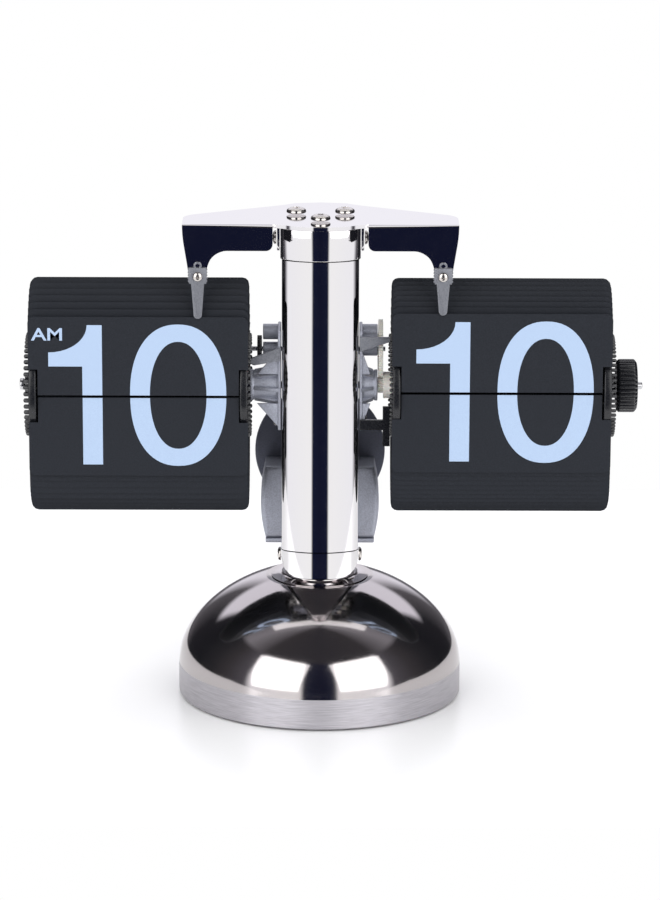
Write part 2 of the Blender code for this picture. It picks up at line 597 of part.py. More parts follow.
# ---------------------------------------------------------------- gear shapes
def gear_outline(teeth, module, centre, phase):
    """Straight-flanked teeth, (y, z); `phase` turns a tooth's middle to that angle."""
    pitch = module * teeth / 2
    tip = pitch + 0.75 * module
    root = pitch - 1.15 * module
    half_tooth = math.pi * module / 4 - TOOTH_BACKLASH / 2
    slope = math.tan(math.radians(20))
    points = []
    for tooth in range(teeth):
        middle = phase + math.tau * tooth / teeth
        for radius, side in ((root, -1), (tip, -1), (tip, 1), (root, 1)):
            angle = middle + side * (half_tooth - (radius - pitch) * slope) / radius
            points.append((centre[0] + radius * math.cos(angle),
                           centre[1] + radius * math.sin(angle)))
    return points


def half_pitch(teeth):
    return math.pi / teeth


AXIS_SPOT = (0.0, AXIS_Z)
TRANSFER_SPOT = (TRANSFER_Y, TRANSFER_Z)
MOTOR_SPOT = (MOTOR_Y, MOTOR_Z)
arbor_bore = ARBOR_RADIUS + RUNNING


def wheel(name, outline, spot, bore, start, end, finish):
    made = new_object(name, prism(outline, "X", start, end), finish, (start, *spot), 25.0)
    cut(made, hidden_tool(name + "_bore", cylinder(bore, start - MM, end + MM, "X", spot, 16)))
    return made


# ---------------------------------------------------------------- number drums
def drum(unit, sign, hour):
    """A core moulded with its outer disc and hub, and an inner disc; one is hollowed."""
    inner = UNIT_INNER + GAP
    inner_end = inner + DISC_WIDTH
    outer_end = UNIT_OUTER
    outer = outer_end - DISC_WIDTH
    core_start = sign * (inner_end + GAP)
    hub_end = sign * (KNOB_STATION - GAP)
    body = [(axle_bore, core_start), (CORE_RADIUS, core_start), (CORE_RADIUS, sign * outer),
            (DISC_RADIUS, sign * outer), (DISC_RADIUS, sign * outer_end),
            (HUB_RADIUS, sign * outer_end), (HUB_RADIUS, hub_end), (axle_bore, hub_end)]
    new_object(unit + "_drum", turned(body, "X", (0.0, *AXIS_SPOT), 32), BLACK_PLASTIC,
               (core_start, *AXIS_SPOT))
    if hour:
        well = TRANSFER_DISTANCE + HOUR_MODULE * HOUR_STEP_TEETH[0] + 0.6 * MM
        floor = inner_end - 0.7 * MM
        loop = [(axle_bore, sign * inner_end), (axle_bore, sign * floor), (well, sign * floor),
                (well, sign * inner), (DISC_RADIUS, sign * inner),
                (DISC_RADIUS, sign * inner_end)]
        new_object(unit + "_inner_disc", turned(loop, "X", (0.0, *AXIS_SPOT), 32),
                   BLACK_PLASTIC, (sign * inner, *AXIS_SPOT))
    else:
        new_object(unit + "_inner_disc",
                   ring(axle_bore, DISC_RADIUS, sign * inner, sign * inner_end, "X",
                        AXIS_SPOT, 32), BLACK_PLASTIC, (sign * inner, *AXIS_SPOT))


drum("hour", -1, True)
drum("minute", 1, False)

hour_gear_end = UNIT_INNER + GAP + DISC_WIDTH - 0.7 * MM - GAP
hour_gear_start = hour_gear_end - GEAR_WIDTH
wheel("hour_gear",
      gear_outline(HOUR_STEP_TEETH[1], HOUR_MODULE, AXIS_SPOT, TRANSFER_LIFT),
      AXIS_SPOT, axle_bore, -hour_gear_end, -hour_gear_start, WHITE_ACETAL)

pinion_start = WHEEL_STATION - 0.2 * MM
pinion_end = WHEEL_STATION + GEAR_WIDTH + 0.2 * MM
minute_pinion = new_object("minute_pinion",
                           prism(gear_outline(MINUTE_STEP_TEETH[0], FINE_MODULE, AXIS_SPOT,
                                              TRANSFER_LIFT), "X", pinion_start, pinion_end),
                           WHITE_ACETAL, (pinion_start, *AXIS_SPOT), 25.0)
join(minute_pinion, hidden_tool("minute_pinion_hub",
                                cylinder(BOSS_TIP_RADIUS, pinion_end - 0.1 * MM, UNIT_INNER,
                                         "X", AXIS_SPOT, 24)))
cut(minute_pinion, hidden_tool("minute_pinion_bore",
                               cylinder(axle_bore, pinion_start - MM, UNIT_INNER + MM, "X",
                                        AXIS_SPOT, 16)))

knob_points = []
for flute in range(KNOB_FLUTES):
    for share, depth in ((0.0, KNOB_FLUTE_DEPTH), (0.3, 0.0), (0.7, 0.0)):
        angle = math.tau * (flute + share) / KNOB_FLUTES
        knob_points.append(((KNOB_RADIUS - depth) * math.cos(angle),
                            AXIS_Z + (KNOB_RADIUS - depth) * math.sin(angle)))
wheel("setting_knob", knob_points, AXIS_SPOT, axle_bore, KNOB_STATION,
      KNOB_STATION + KNOB_WIDTH, BLACK_PLASTIC)


# ---------------------------------------------------------------- transfer train
transfer_tooth = TRANSFER_LIFT + math.pi
arbor_end = hour_gear_end
arbor = new_object("transfer_arbor",
                   cylinder(ARBOR_RADIUS, -arbor_end, WHEEL_STATION + GEAR_WIDTH + 0.8 * MM,
                            "X", TRANSFER_SPOT, 16), STEEL, (0.0, *TRANSFER_SPOT))
join(arbor, hidden_tool("transfer_pinion_leaves",
                        prism(gear_outline(HOUR_STEP_TEETH[0], HOUR_MODULE, TRANSFER_SPOT,
                                           transfer_tooth + half_pitch(HOUR_STEP_TEETH[0])),
                              "X", -arbor_end, -hour_gear_start)))
wheel("transfer_wheel",
      gear_outline(MINUTE_STEP_TEETH[1], FINE_MODULE, TRANSFER_SPOT,
                   transfer_tooth + half_pitch(MINUTE_STEP_TEETH[1])),
      TRANSFER_SPOT, arbor_bore, WHEEL_STATION, WHEEL_STATION + GEAR_WIDTH, WHITE_ACETAL)

collar_points = []
for tooth in range(COLLAR_TEETH):
    for share, depth in ((0.0, 0.35 * MM), (0.5, 0.0)):
        angle = math.tau * (tooth + share) / COLLAR_TEETH
        collar_points.append((TRANSFER_Y + (COLLAR_RADIUS - depth) * math.cos(angle),
                              TRANSFER_Z + (COLLAR_RADIUS - depth) * math.sin(angle)))
wheel("transfer_collar", collar_points, TRANSFER_SPOT, arbor_bore,
      -COLLAR_STATION - GEAR_WIDTH, -COLLAR_STATION, BLACK_PLASTIC)

wheel_tooth = transfer_tooth + half_pitch(MINUTE_STEP_TEETH[1])
wheel_pitch = math.tau / MINUTE_STEP_TEETH[1]
lead = ((MOTOR_LIFT - wheel_tooth) / wheel_pitch) % 1.0
motor_phase = MOTOR_LIFT + math.pi + half_pitch(MOTOR_TEETH) + lead * math.tau / MOTOR_TEETH
motor_shaft_start = CASE_HALF_WIDTH - CASE_WALL + 0.1 * MM
motor_wheel = new_object("motor_wheel",
                         prism(gear_outline(MOTOR_TEETH, FINE_MODULE, MOTOR_SPOT, motor_phase),
                               "X", WHEEL_STATION, WHEEL_STATION + GEAR_WIDTH),
                         WHITE_ACETAL, (WHEEL_STATION, *MOTOR_SPOT), 25.0)
join(motor_wheel, hidden_tool("motor_wheel_shaft",
                              cylinder(ARBOR_RADIUS, motor_shaft_start, WHEEL_STATION + MM,
                                       "X", MOTOR_SPOT, 12)))


# ---------------------------------------------------------------- side arms
def side_arm(side, sign, boss_end):
    """Flange on the column, tapered axle boss with two gussets, and two round stubs."""
    face = HALF_COLUMN + GAP
    root = face + ARM_FLANGE - 0.2 * MM
    low, high = sorted((sign * face, sign * (face + ARM_FLANGE)))
    arm = new_object(side + "_side_arm",
                     box((low, -ARM_FLANGE_FRONT, AXIS_Z - ARM_FLANGE_BOTTOM),
                         (high, ARM_FLANGE_BACK, AXIS_Z + ARM_FLANGE_TOP)), SILVER_PLASTIC)
    boss = turned([(0.0, sign * root), (BOSS_ROOT_RADIUS, sign * root),
                   (BOSS_TIP_RADIUS, sign * boss_end), (0.0, sign * boss_end)], "X",
                  (0.0, *AXIS_SPOT), 24)
    gusset_tip = min(boss_end - MM, 19.0 * MM)
    gusset = [(sign * root, AXIS_Z + GUSSET_RISE), (sign * gusset_tip, AXIS_Z + 3.0 * MM),
              (sign * gusset_tip, AXIS_Z - 3.0 * MM), (sign * root, AXIS_Z - GUSSET_RISE)]
    join(arm,
         hidden_tool(side + "_arm_boss", boss),
         hidden_tool(side + "_arm_gusset", prism(gusset, "Y", -GUSSET_THICKNESS / 2,
                                                 GUSSET_THICKNESS / 2)),
         hidden_tool(side + "_arm_stub", cylinder(STUB_RADIUS, sign * root, sign * STUB_END,
                                                  "X", TRANSFER_SPOT, 20)),
         hidden_tool(side + "_arm_upper_stub",
                     cylinder(UPPER_STUB_RADIUS, sign * root, sign * STUB_END, "X",
                              (TRANSFER_Y, AXIS_Z + UPPER_STUB_RISE), 20)))
    cut(arm, hidden_tool(side + "_arm_bores", together(
        cylinder(arbor_bore, sign * (face - MM), sign * (STUB_END + MM), "X", TRANSFER_SPOT,
                 16),
        cylinder(axle_bore, sign * (face - MM), sign * (boss_end + MM), "X", AXIS_SPOT, 16),
        cylinder(side_bore, sign * (face - MM), sign * (root + MM), "X", (0.0, arm_screw_z),
                 12))))
    screw(side + "_side_arm_screw", (sign * (face + ARM_FLANGE + GAP), 0.0, arm_screw_z),
          (sign, 0, 0), SIDE_HEAD_RADIUS, SIDE_HEAD_HEIGHT, SIDE_SHANK_RADIUS, 5.0 * MM)


side_arm("left", -1, UNIT_INNER - 0.4 * MM)
side_arm("right", 1, WHEEL_STATION - 0.5 * MM)

lever_front = -ARM_FLANGE_FRONT - GAP - 1.2 * MM
lever_back = -ARM_FLANGE_FRONT - GAP
lever_root = HALF_COLUMN + GAP + 0.1 * MM
lever_tip = UNIT_INNER - 0.5 * MM
left_lever_outline = [(-lever_root, AXIS_Z + 10.0 * MM), (-lever_root, AXIS_Z + 14.5 * MM)]
left_lever_outline += arc((-lever_tip + 1.4 * MM, AXIS_Z + 9.8 * MM), 1.4 * MM, 90.0, 270.0, 6)
new_object("left_lever", prism(left_lever_outline, "Y", lever_front, lever_back), SPRING_STEEL)
right_lever_outline = [(lever_root, AXIS_Z + 13.0 * MM), (lever_tip, AXIS_Z + 16.5 * MM),
                       (lever_tip, AXIS_Z + 18.0 * MM), (lever_root, AXIS_Z + 18.0 * MM)]
new_object("right_lever", prism(right_lever_outline, "Y", lever_front, lever_back),
           SPRING_STEEL)
guard_outline = [(lever_root, AXIS_Z - 13.5 * MM), (lever_tip - 2.4 * MM, AXIS_Z - 13.5 * MM),
                 (lever_tip - 2.4 * MM, AXIS_Z - 19.0 * MM), (lever_tip, AXIS_Z - 19.0 * MM),
                 (lever_tip, AXIS_Z - 5.5 * MM), (lever_tip - 2.4 * MM, AXIS_Z - 5.5 * MM),
                 (lever_tip - 2.4 * MM, AXIS_Z - 10.0 * MM), (lever_root, AXIS_Z - 10.0 * MM)]
new_object("right_guard", prism(guard_outline, "Y", lever_front, lever_back), BLACK_PLASTIC)


# ---------------------------------------------------------------- movement case and motor
case_top = AXIS_Z + CASE_ABOVE_AXIS
case_foot = AXIS_Z - CASE_BELOW_AXIS
case = new_object("movement_case",
                  box((-CASE_HALF_WIDTH, CASE_FRONT, case_foot),
                      (CASE_HALF_WIDTH, CASE_BACK, case_top)), SILVER_PLASTIC)
cut(case,
    hidden_tool("movement_case_inside",
                box((-CASE_HALF_WIDTH + CASE_WALL, CASE_FRONT - MM, case_foot + CASE_WALL),
                    (CASE_HALF_WIDTH - CASE_WALL, CASE_BACK - CASE_WALL,
                     case_top - CASE_WALL))),
    hidden_tool("movement_case_shaft_hole",
                cylinder(ARBOR_RADIUS + RUNNING, CASE_HALF_WIDTH - CASE_WALL - MM,
                         CASE_HALF_WIDTH + MM, "X", MOTOR_SPOT, 12)))
motor_end = motor_shaft_start - GAP
new_object("motor_body",
           cylinder(MOTOR_RADIUS, motor_end - MOTOR_LENGTH, motor_end, "X", MOTOR_SPOT, 28),
           STEEL)

# ---------------------------------------------------------------- battery case
barrel_right = [(BATTERY_HALF_WIDTH - BATTERY_BULGE, BATTERY_FOOT)]
bulge_radius = (BATTERY_HEIGHT ** 2 / 4 + BATTERY_BULGE ** 2) / (2 * BATTERY_BULGE)
bulge_angle = math.degrees(math.asin(BATTERY_HEIGHT / 2 / bulge_radius))
barrel_right += arc((BATTERY_HALF_WIDTH - bulge_radius, (BATTERY_TOP + BATTERY_FOOT) / 2),
                    bulge_radius, -bulge_angle, bulge_angle, 8)[1:-1]
barrel_right += [(BATTERY_HALF_WIDTH - BATTERY_BULGE, BATTERY_TOP)]
barrel = barrel_right + mirrored(barrel_right)
battery_case = new_object("battery_case", prism(barrel, "Y", CASE_FRONT, CASE_BACK),
                          SILVER_PLASTIC)
well_half = BATTERY_HALF_WIDTH - BATTERY_BULGE - CASE_WALL
cut(battery_case,
    hidden_tool("battery_well", box((-well_half, CASE_FRONT + CASE_WALL, BATTERY_FOOT - MM),
                                    (well_half, CASE_BACK - CASE_WALL,
                                     BATTERY_TOP - CASE_WALL))))
cell_y = (CASE_FRONT + CASE_BACK) / 2
cell_z = BATTERY_TOP - CASE_WALL - 2 * GAP - CELL_RADIUS
new_object("battery_cell",
           cylinder(CELL_RADIUS, -CELL_LENGTH / 2, CELL_LENGTH / 2, "X", (cell_y, cell_z), 24),
           CELL_JACKET)
contact_start = CELL_LENGTH / 2 + GAP
contact_half = CELL_RADIUS * 0.8
new_object("positive_contact",
           box((contact_start, cell_y - contact_half, cell_z - contact_half),
               (contact_start + CONTACT_THICKNESS, cell_y + contact_half,
                cell_z + contact_half)), BRASS)
new_object("negative_contact",
           turned([(0.0, -well_half + GAP), (contact_half, -well_half + GAP),
                   (contact_half * 0.5, -contact_start), (0.0, -contact_start)], "X",
                  (0.0, cell_y, cell_z), 16), BRASS)
door_top = BATTERY_FOOT - GAP
new_object("battery_door",
           box((-well_half - CASE_WALL, CASE_FRONT + GAP, door_top - DOOR_THICKNESS),
               (well_half + CASE_WALL, CASE_BACK - GAP, door_top)), SILVER_PLASTIC,
           (0.0, cell_y, door_top))

cover_start = CASE_BACK + GAP
cover_z = AXIS_Z - COVER_DROP
cover = new_object("rear_cover",
                   cylinder(COVER_RADIUS, cover_start, cover_start + COVER_THICKNESS, "Y",
                            (0.0, cover_z), 48), GREY_PLASTIC)
cover_screw_z = (case_foot + cover_z + COVER_RADIUS) / 2
cover_bore_end = cover_start - GAP - CASE_WALL - MM
cut(cover, hidden_tool("rear_cover_bore",
                       cylinder(side_bore, cover_bore_end, cover_start + COVER_THICKNESS + MM,
                                "Y", (0.0, cover_screw_z), 12)))
cut(case, hidden_tool("movement_case_cover_bore",
                      cylinder(side_bore, cover_bore_end, CASE_BACK + MM, "Y",
                               (0.0, cover_screw_z), 12)))
screw("rear_cover_screw", (0.0, cover_start + COVER_THICKNESS + GAP, cover_screw_z), (0, 1, 0),
      SIDE_HEAD_RADIUS, SIDE_HEAD_HEIGHT, SIDE_SHANK_RADIUS,
      COVER_THICKNESS + GAP + CASE_WALL * 0.5)


# ---------------------------------------------------------------- number leaves
def pin(angle_deg):
    """A pin's (y, z); 0 degrees is the front of the drum and 90 its top."""
    angle = math.radians(angle_deg)
    return (-PIN_CIRCLE * math.cos(angle), AXIS_Z + PIN_CIRCLE * math.sin(angle))


def lean(angle_deg):
    """How far a leaf leans back from upright: little in front, along the drum behind."""
    if angle_deg < 35.0:
        return 0.4 * angle_deg
    if angle_deg < 85.0:
        share = (angle_deg - 35.0) / 50.0
        blend = share * share * (3.0 - 2.0 * share)
        return angle_deg * (0.4 + 0.6 * blend)
    return min(angle_deg, 180.0)


def tip(angle_deg):
    foot_y, foot_z = pin(angle_deg)
    back = math.radians(lean(angle_deg))
    return (foot_y + LEAF_REACH * math.sin(back), foot_z + LEAF_REACH * math.cos(back))


def number_leaves(unit, sign, split, pitch_deg):
    """The shown leaves, each a plate of its own, and the stacks behind and below them."""
    pivot = pivot_height(split)
    inner, outer = sign * UNIT_INNER, sign * UNIT_OUTER
    half = LEAF_THICKNESS / 2
    notch = DISC_WIDTH + 2 * GAP
    split_z = AXIS_Z + split

    def leaf(name, near, far, front, origin, away):
        """A plate with a notch at each near corner; `away` points to its far edge."""
        wide, narrow = UNIT_OUTER, UNIT_OUTER - notch
        slim, body = UNIT_INNER, UNIT_INNER + notch
        disc_edge = math.sqrt((DISC_RADIUS + GAP) ** 2 - (front + LEAF_THICKNESS) ** 2)
        step = away * max(away * split_z + NOTCH_HEIGHT,
                          away * AXIS_Z + disc_edge + 0.1 * MM)
        outline = [(body, near), (narrow, near), (narrow, step), (wide, step), (wide, far),
                   (slim, far), (slim, step), (body, step)]
        outline = [(sign * a, b) for a, b in outline]
        return new_object(unit + name, prism(outline, "Y", front, front + LEAF_THICKNESS),
                          LEAF_PLASTIC, origin)

    leaf("_leaf_falling", pivot - LEAF_HEEL, pivot + LEAF_REACH, -PIN_CIRCLE - half,
         (sign * UNIT_INNER, -PIN_CIRCLE, pivot), 1)
    lower_top = AXIS_Z + split - SPLIT_GAP / 2
    lower_front = -PIN_CIRCLE + half + 0.25 * MM
    leaf("_leaf_fallen", lower_top, lower_top - LEAF_REACH - LEAF_HEEL, lower_front,
         (0.0, 0.0, 0.0), -1)

    clear = DISC_RADIUS + GAP + 0.15 * MM
    inside = PIN_CIRCLE - 1.3 * MM

    def stack(name, outline):
        made = new_object(unit + name, prism(outline, "X", inner, outer), LEAF_PLASTIC)
        for zone, (start, end) in {"inner": (inner - sign * MM, inner + sign * notch),
                                   "outer": (outer - sign * notch, outer + sign * MM)}.items():
            cut(made, hidden_tool(unit + name + "_disc_room_" + zone,
                                  cylinder(clear, start, end, "X", AXIS_SPOT, 46)))
        return made

    standing_front = -PIN_CIRCLE + half + 0.35 * MM
    first = math.degrees(math.asin((pivot - AXIS_Z) / PIN_CIRCLE))
    last_standing = first + 5 * pitch_deg
    steps = [(standing_front, pivot + 0.2 * MM)]
    edge = standing_front
    for count in range(1, 6):
        tip_y, tip_z = tip(first + count * pitch_deg)
        steps += [(edge, tip_z), (max(tip_y, edge + 0.3 * MM), tip_z)]
        edge = steps[-1][0]
    back_y, back_z = pin(last_standing)
    steps += [(back_y + 0.6 * MM, back_z), (standing_front + 0.8 * MM, pivot + 0.2 * MM)]
    stack("_leaves_standing", steps)

    over_first = last_standing + pitch_deg
    over = [pin(over_first)]
    over += [tip(over_first + (180.0 - over_first) * step / 8) for step in range(9)]
    over += [pin(180.0)]
    over += [(-inside * math.cos(math.radians(angle)), AXIS_Z + inside * math.sin(
        math.radians(angle))) for angle in (175.0, 155.0, 135.0, 115.0, 95.0, 75.0)]
    over[0] = (over[0][0] + 1.2 * MM, over[0][1] + 0.6 * MM)
    stack("_leaves_over", over)

    hang_front = lower_front + LEAF_THICKNESS + GAP
    hanging = [(hang_front, lower_top - 0.6 * MM), (hang_front, pin(-10.0)[1] - LEAF_REACH)]
    for angle in range(-20, -190, -20):
        hanging.append((max(pin(angle)[0], hang_front + 0.1 * MM) if angle > -90 else
                        pin(angle)[0], pin(angle)[1] - LEAF_REACH))
    hanging += [(PIN_CIRCLE - 0.2 * MM, pin(-170.0)[1])]
    hanging += [(-inside * math.cos(math.radians(angle)), AXIS_Z + inside * math.sin(
        math.radians(angle))) for angle in range(-165, 0, 15)]
    stack("_leaves_hanging", hanging)


number_leaves("hour", -1, HOUR_SPLIT, 360.0 / HOUR_LEAVES)
number_leaves("minute", 1, MINUTE_SPLIT, 360.0 / MINUTE_LEAVES)
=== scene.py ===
# %% [markdown]
# # Flip number clock
# The clock is a domed steel base, a polished column, a bent sheet-metal bar on top and two
# drums of number leaves on one axle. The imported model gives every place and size; this
# script makes the surfaces that are seen. Everything is in metres.

# %% Load the frame
import math

import bmesh
import bpy
from mathutils import Matrix, Vector


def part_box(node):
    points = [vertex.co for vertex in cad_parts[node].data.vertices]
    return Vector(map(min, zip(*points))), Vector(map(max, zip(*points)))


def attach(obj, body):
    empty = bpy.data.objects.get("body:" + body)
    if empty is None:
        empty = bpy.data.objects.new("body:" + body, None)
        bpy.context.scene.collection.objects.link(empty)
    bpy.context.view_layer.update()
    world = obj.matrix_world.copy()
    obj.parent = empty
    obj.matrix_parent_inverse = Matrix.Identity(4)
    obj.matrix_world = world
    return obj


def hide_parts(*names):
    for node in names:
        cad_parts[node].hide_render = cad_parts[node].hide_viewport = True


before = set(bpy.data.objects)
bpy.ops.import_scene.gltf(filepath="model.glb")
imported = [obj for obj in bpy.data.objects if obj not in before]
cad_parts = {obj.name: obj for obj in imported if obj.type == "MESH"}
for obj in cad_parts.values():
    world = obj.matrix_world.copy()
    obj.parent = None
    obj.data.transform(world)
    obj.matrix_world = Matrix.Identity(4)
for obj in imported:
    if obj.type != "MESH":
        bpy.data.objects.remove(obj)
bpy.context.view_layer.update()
MM = 0.001

# %% [markdown]
# ## Where things are
# Places are read from the frame's boxes, so the looks follow the CAD model. The drums turn
# about the axle, and each unit's split line is where its two shown leaves meet.

# %% Stations read from the frame
axle_low, axle_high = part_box("main_axle")
AXIS_Z = (axle_low.z + axle_high.z) / 2
COLUMN_LOW, COLUMN_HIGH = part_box("column_tube")
BAR_LOW, BAR_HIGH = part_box("top_bar")
BASE_LOW, BASE_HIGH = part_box("base_dome")
BASE_RADIUS = BASE_HIGH.x
HALF_COLUMN = COLUMN_HIGH.x
print("axle height %.1f mm, column half width %.1f mm" % (AXIS_Z / MM, HALF_COLUMN / MM))

# %% [markdown]
# ## Camera
# A long lens a little above the clock, looking slightly down at it. The distance sets how
# much the near parts grow; the lens then sets the framing.

# %% Camera
CAMERA_PLACE = (0.00013, -1.4006, 0.4419)
CAMERA_DOWN = 14.368
CAMERA_YAW = -0.131
CAMERA_ROLL = 0.19
LENS_MM = 173.5
camera_data = bpy.data.cameras.new("camera")
camera_data.lens = LENS_MM
camera_data.sensor_width = 36.0
camera_data.clip_end = 20.0
camera = bpy.data.objects.new("camera", camera_data)
camera.location = CAMERA_PLACE
turn = Matrix.Rotation(math.radians(CAMERA_YAW), 3, "Z") @ Matrix.Rotation(
    math.radians(90.0 - CAMERA_DOWN), 3, "X") @ Matrix.Rotation(math.radians(CAMERA_ROLL), 3, "Z")
camera.rotation_euler = turn.to_euler()
bpy.context.scene.collection.objects.link(camera)
bpy.context.scene.camera = camera
bpy.context.scene.view_settings.view_transform = "Standard"      # white stays white
print("camera", [round(value, 3) for value in camera.location])

# %% [markdown]
# ## Making materials
# Colours are chosen as sRGB hex values, and Blender works in linear light, so one function
# turns them. One more adds a node to a material with its settings and its links.

# %% Colour and node helpers
def linear(hex_colour):
    """An sRGB hex colour as linear (r, g, b, 1)."""
    values = [int(hex_colour[place:place + 2], 16) / 255 for place in (1, 3, 5)]
    return (*[value / 12.92 if value <= 0.04045 else ((value + 0.055) / 1.055) ** 2.4
              for value in values], 1.0)


def add(material, kind, inputs=None, **settings):
    """Add one node; an input is a value or another node's output socket."""
    tree = material.node_tree
    made = tree.nodes.new(kind)
    for name, value in settings.items():
        setattr(made, name, value)
    for name, value in (inputs or {}).items():
        if isinstance(value, bpy.types.NodeSocket):
            tree.links.new(value, made.inputs[name])
        else:
            made.inputs[name].default_value = value
    return made


def new_material(name, colour, metallic, roughness, **more):
    """A Principled surface; `more` sets its other sockets, with _ for a space."""
    made = bpy.data.materials.new(name)
    made.use_nodes = True
    shader = made.node_tree.nodes["Principled BSDF"]
    shader.inputs["Base Color"].default_value = linear(colour)
    shader.inputs["Metallic"].default_value = metallic
    shader.inputs["Roughness"].default_value = roughness
    for socket, value in more.items():
        shader.inputs[socket.replace("_", " ")].default_value = value
    return made, shader


def grain(material, shader, size, depth=0.0, rough=None, colours=None, stretch=(1, 1, 1),
          detail=3.0):
    """Noise with grains of `size` metres drives bump, roughness range and colour pair."""
    place = add(material, "ShaderNodeTexCoord").outputs["Object"]
    if stretch != (1, 1, 1):
        place = add(material, "ShaderNodeMapping",
                    {"Vector": place, "Scale": stretch}).outputs["Vector"]
    noise = add(material, "ShaderNodeTexNoise",
                {"Vector": place, "Scale": 1.0 / size, "Detail": detail}).outputs["Fac"]
    link = material.node_tree.links.new
    if depth:
        bump = add(material, "ShaderNodeBump", {"Height": noise, "Distance": depth,
                                                "Strength": 1.0})
        link(bump.outputs["Normal"], shader.inputs["Normal"])
    if rough:
        spread = add(material, "ShaderNodeMapRange",
                     {"Value": noise, "From Min": 0.3, "From Max": 0.7, "To Min": rough[0],
                      "To Max": rough[1]})
        link(spread.outputs["Result"], shader.inputs["Roughness"])
    if colours:
        ramp = add(material, "ShaderNodeValToRGB", {"Fac": noise})
        ramp.color_ramp.elements[0].position = 0.35
        ramp.color_ramp.elements[1].position = 0.65
        ramp.color_ramp.elements[0].color = linear(colours[0])
        ramp.color_ramp.elements[1].color = linear(colours[1])
        link(ramp.outputs["Color"], shader.inputs["Base Color"])
    return noise


print("polished steel in linear light", [round(value, 2) for value in linear("#E4E2E3")[:3]])

# %% [markdown]
# ## Metals
# The column, bar and dome are mirror-polished steel: a near-perfect mirror whose faint
# polishing haze shows as a slightly changing roughness. The base's band is turned and
# brushed round, so its highlight spreads up and down. Screws are nickel plated, and the
# leaf stops are matt spring strip.

# %% Metal finishes
# rolled stainless sheet, mirror polished: sharp reflections of the whole room
polished_steel, shader = new_material("mirror_polished_steel", "#E4E2E3", 1.0, 0.04)
grain(polished_steel, shader, 6 * MM, rough=(0.03, 0.06))

# the same steel spun and polished on the lathe: a little softer, with faint turning marks
dome_steel, shader = new_material("polished_base_steel", "#C9C3C3", 1.0, 0.09)
grain(dome_steel, shader, 0.9 * MM, depth=0.0006 * MM, rough=(0.05, 0.13),
      stretch=(1, 1, 6), detail=4.0)

# turned steel brushed with 400 grit, drawn ten times coarser so that it shows: long low
# streaks round the band and a broad, soft highlight
brushed_steel, shader = new_material("turned_brushed_steel", "#BDBABF", 1.0, 0.34)
grain(brushed_steel, shader, 2.2 * MM, depth=0.004 * MM, rough=(0.28, 0.42),
      colours=("#AFACB1", "#C9C6CB"), stretch=(0.35, 0.35, 14), detail=4.0)

# nickel plated carbon steel: warm, slightly hazy sparkle on small heads
screw_steel, shader = new_material("nickel_plated_steel", "#D8D3CE", 1.0, 0.16)
grain(screw_steel, shader, 0.5 * MM, rough=(0.10, 0.24))

# tumbled spring strip: matt grey with a fine speckle
spring_strip, shader = new_material("matt_spring_strip", "#8E9097", 1.0, 0.48)
grain(spring_strip, shader, 0.35 * MM, depth=0.01 * MM, rough=(0.42, 0.58),
      colours=("#84868D", "#9A9CA3"))

# centreless-ground rod: fine marks round it, a soft line of light along it
bright_rod, shader = new_material("ground_steel_rod", "#C8C8CA", 1.0, 0.22)
grain(bright_rod, shader, 0.4 * MM, rough=(0.16, 0.30), stretch=(0.2, 4, 4))

# sand-cast iron: dark, rough and uneven
grey_iron, shader = new_material("cast_iron_weight", "#4A4A4B", 0.6, 0.65)
grain(grey_iron, shader, 1.2 * MM, depth=0.05 * MM, rough=(0.55, 0.8),
      colours=("#3E3E40", "#58585A"))

# rolled spring brass: warm and smooth
spring_brass, shader = new_material("nickelled_spring_brass", "#C9A86A", 1.0, 0.25)
grain(spring_brass, shader, 0.8 * MM, rough=(0.18, 0.34))
print("metals", 8)

# %% [markdown]
# ## Plastics, rubber and print
# The leaves are thin calendered PVC with a matt surface; the numerals are screen printed in
# a pale blue-white ink. Discs and knob are gloss black ABS. The arms and cases are ABS
# painted with a fine silver texture, and the gears are white acetal.

# %% Plastic finishes
# calendered PVC sheet: near black with a blue cast and a fine matt grain
leaf_sheet, shader = new_material("matt_black_pvc_sheet", "#202329", 0.0, 0.5,
                                  Specular_IOR_Level=0.2)
grain(leaf_sheet, shader, 0.35 * MM, depth=0.012 * MM, rough=(0.45, 0.58),
      colours=("#1E2127", "#25282F"))

# screen-printed ink: flat, even and pale blue
number_ink, shader = new_material("screen_printed_ink", "#A9BDD8", 0.0, 0.55,
                                  Specular_IOR_Level=0.3)
grain(number_ink, shader, 0.25 * MM, depth=0.003 * MM, rough=(0.5, 0.62),
      colours=("#A5B9D5", "#ADC1DB"))

# moulded ABS from a polished tool: black with clear small highlights
gloss_black, shader = new_material("gloss_black_abs", "#17181C", 0.0, 0.22, IOR=1.54)
grain(gloss_black, shader, 0.7 * MM, depth=0.003 * MM, rough=(0.18, 0.30))

# moulded ABS sprayed with silver lacquer: a soft metallic sheen over a fine texture
silver_plastic, shader = new_material("silver_painted_abs", "#A9ACB8", 0.55, 0.42)
grain(silver_plastic, shader, 0.30 * MM, depth=0.02 * MM, rough=(0.36, 0.52),
      colours=("#9EA0AC", "#B8BCC8"))

# moulded ABS coloured through: darker and flatter than the lacquer
grey_plastic, shader = new_material("dark_grey_abs", "#6E7180", 0.1, 0.5)
grain(grey_plastic, shader, 0.35 * MM, depth=0.02 * MM, rough=(0.45, 0.6),
      colours=("#666977", "#767989"))

# moulded acetal: waxy white that lets a little light in
white_acetal, shader = new_material("white_acetal", "#E6E4DC", 0.0, 0.38,
                                    Subsurface_Weight=0.1, Subsurface_Scale=0.001)
grain(white_acetal, shader, 0.8 * MM, rough=(0.32, 0.46), colours=("#E1DED5", "#ECEAE3"))

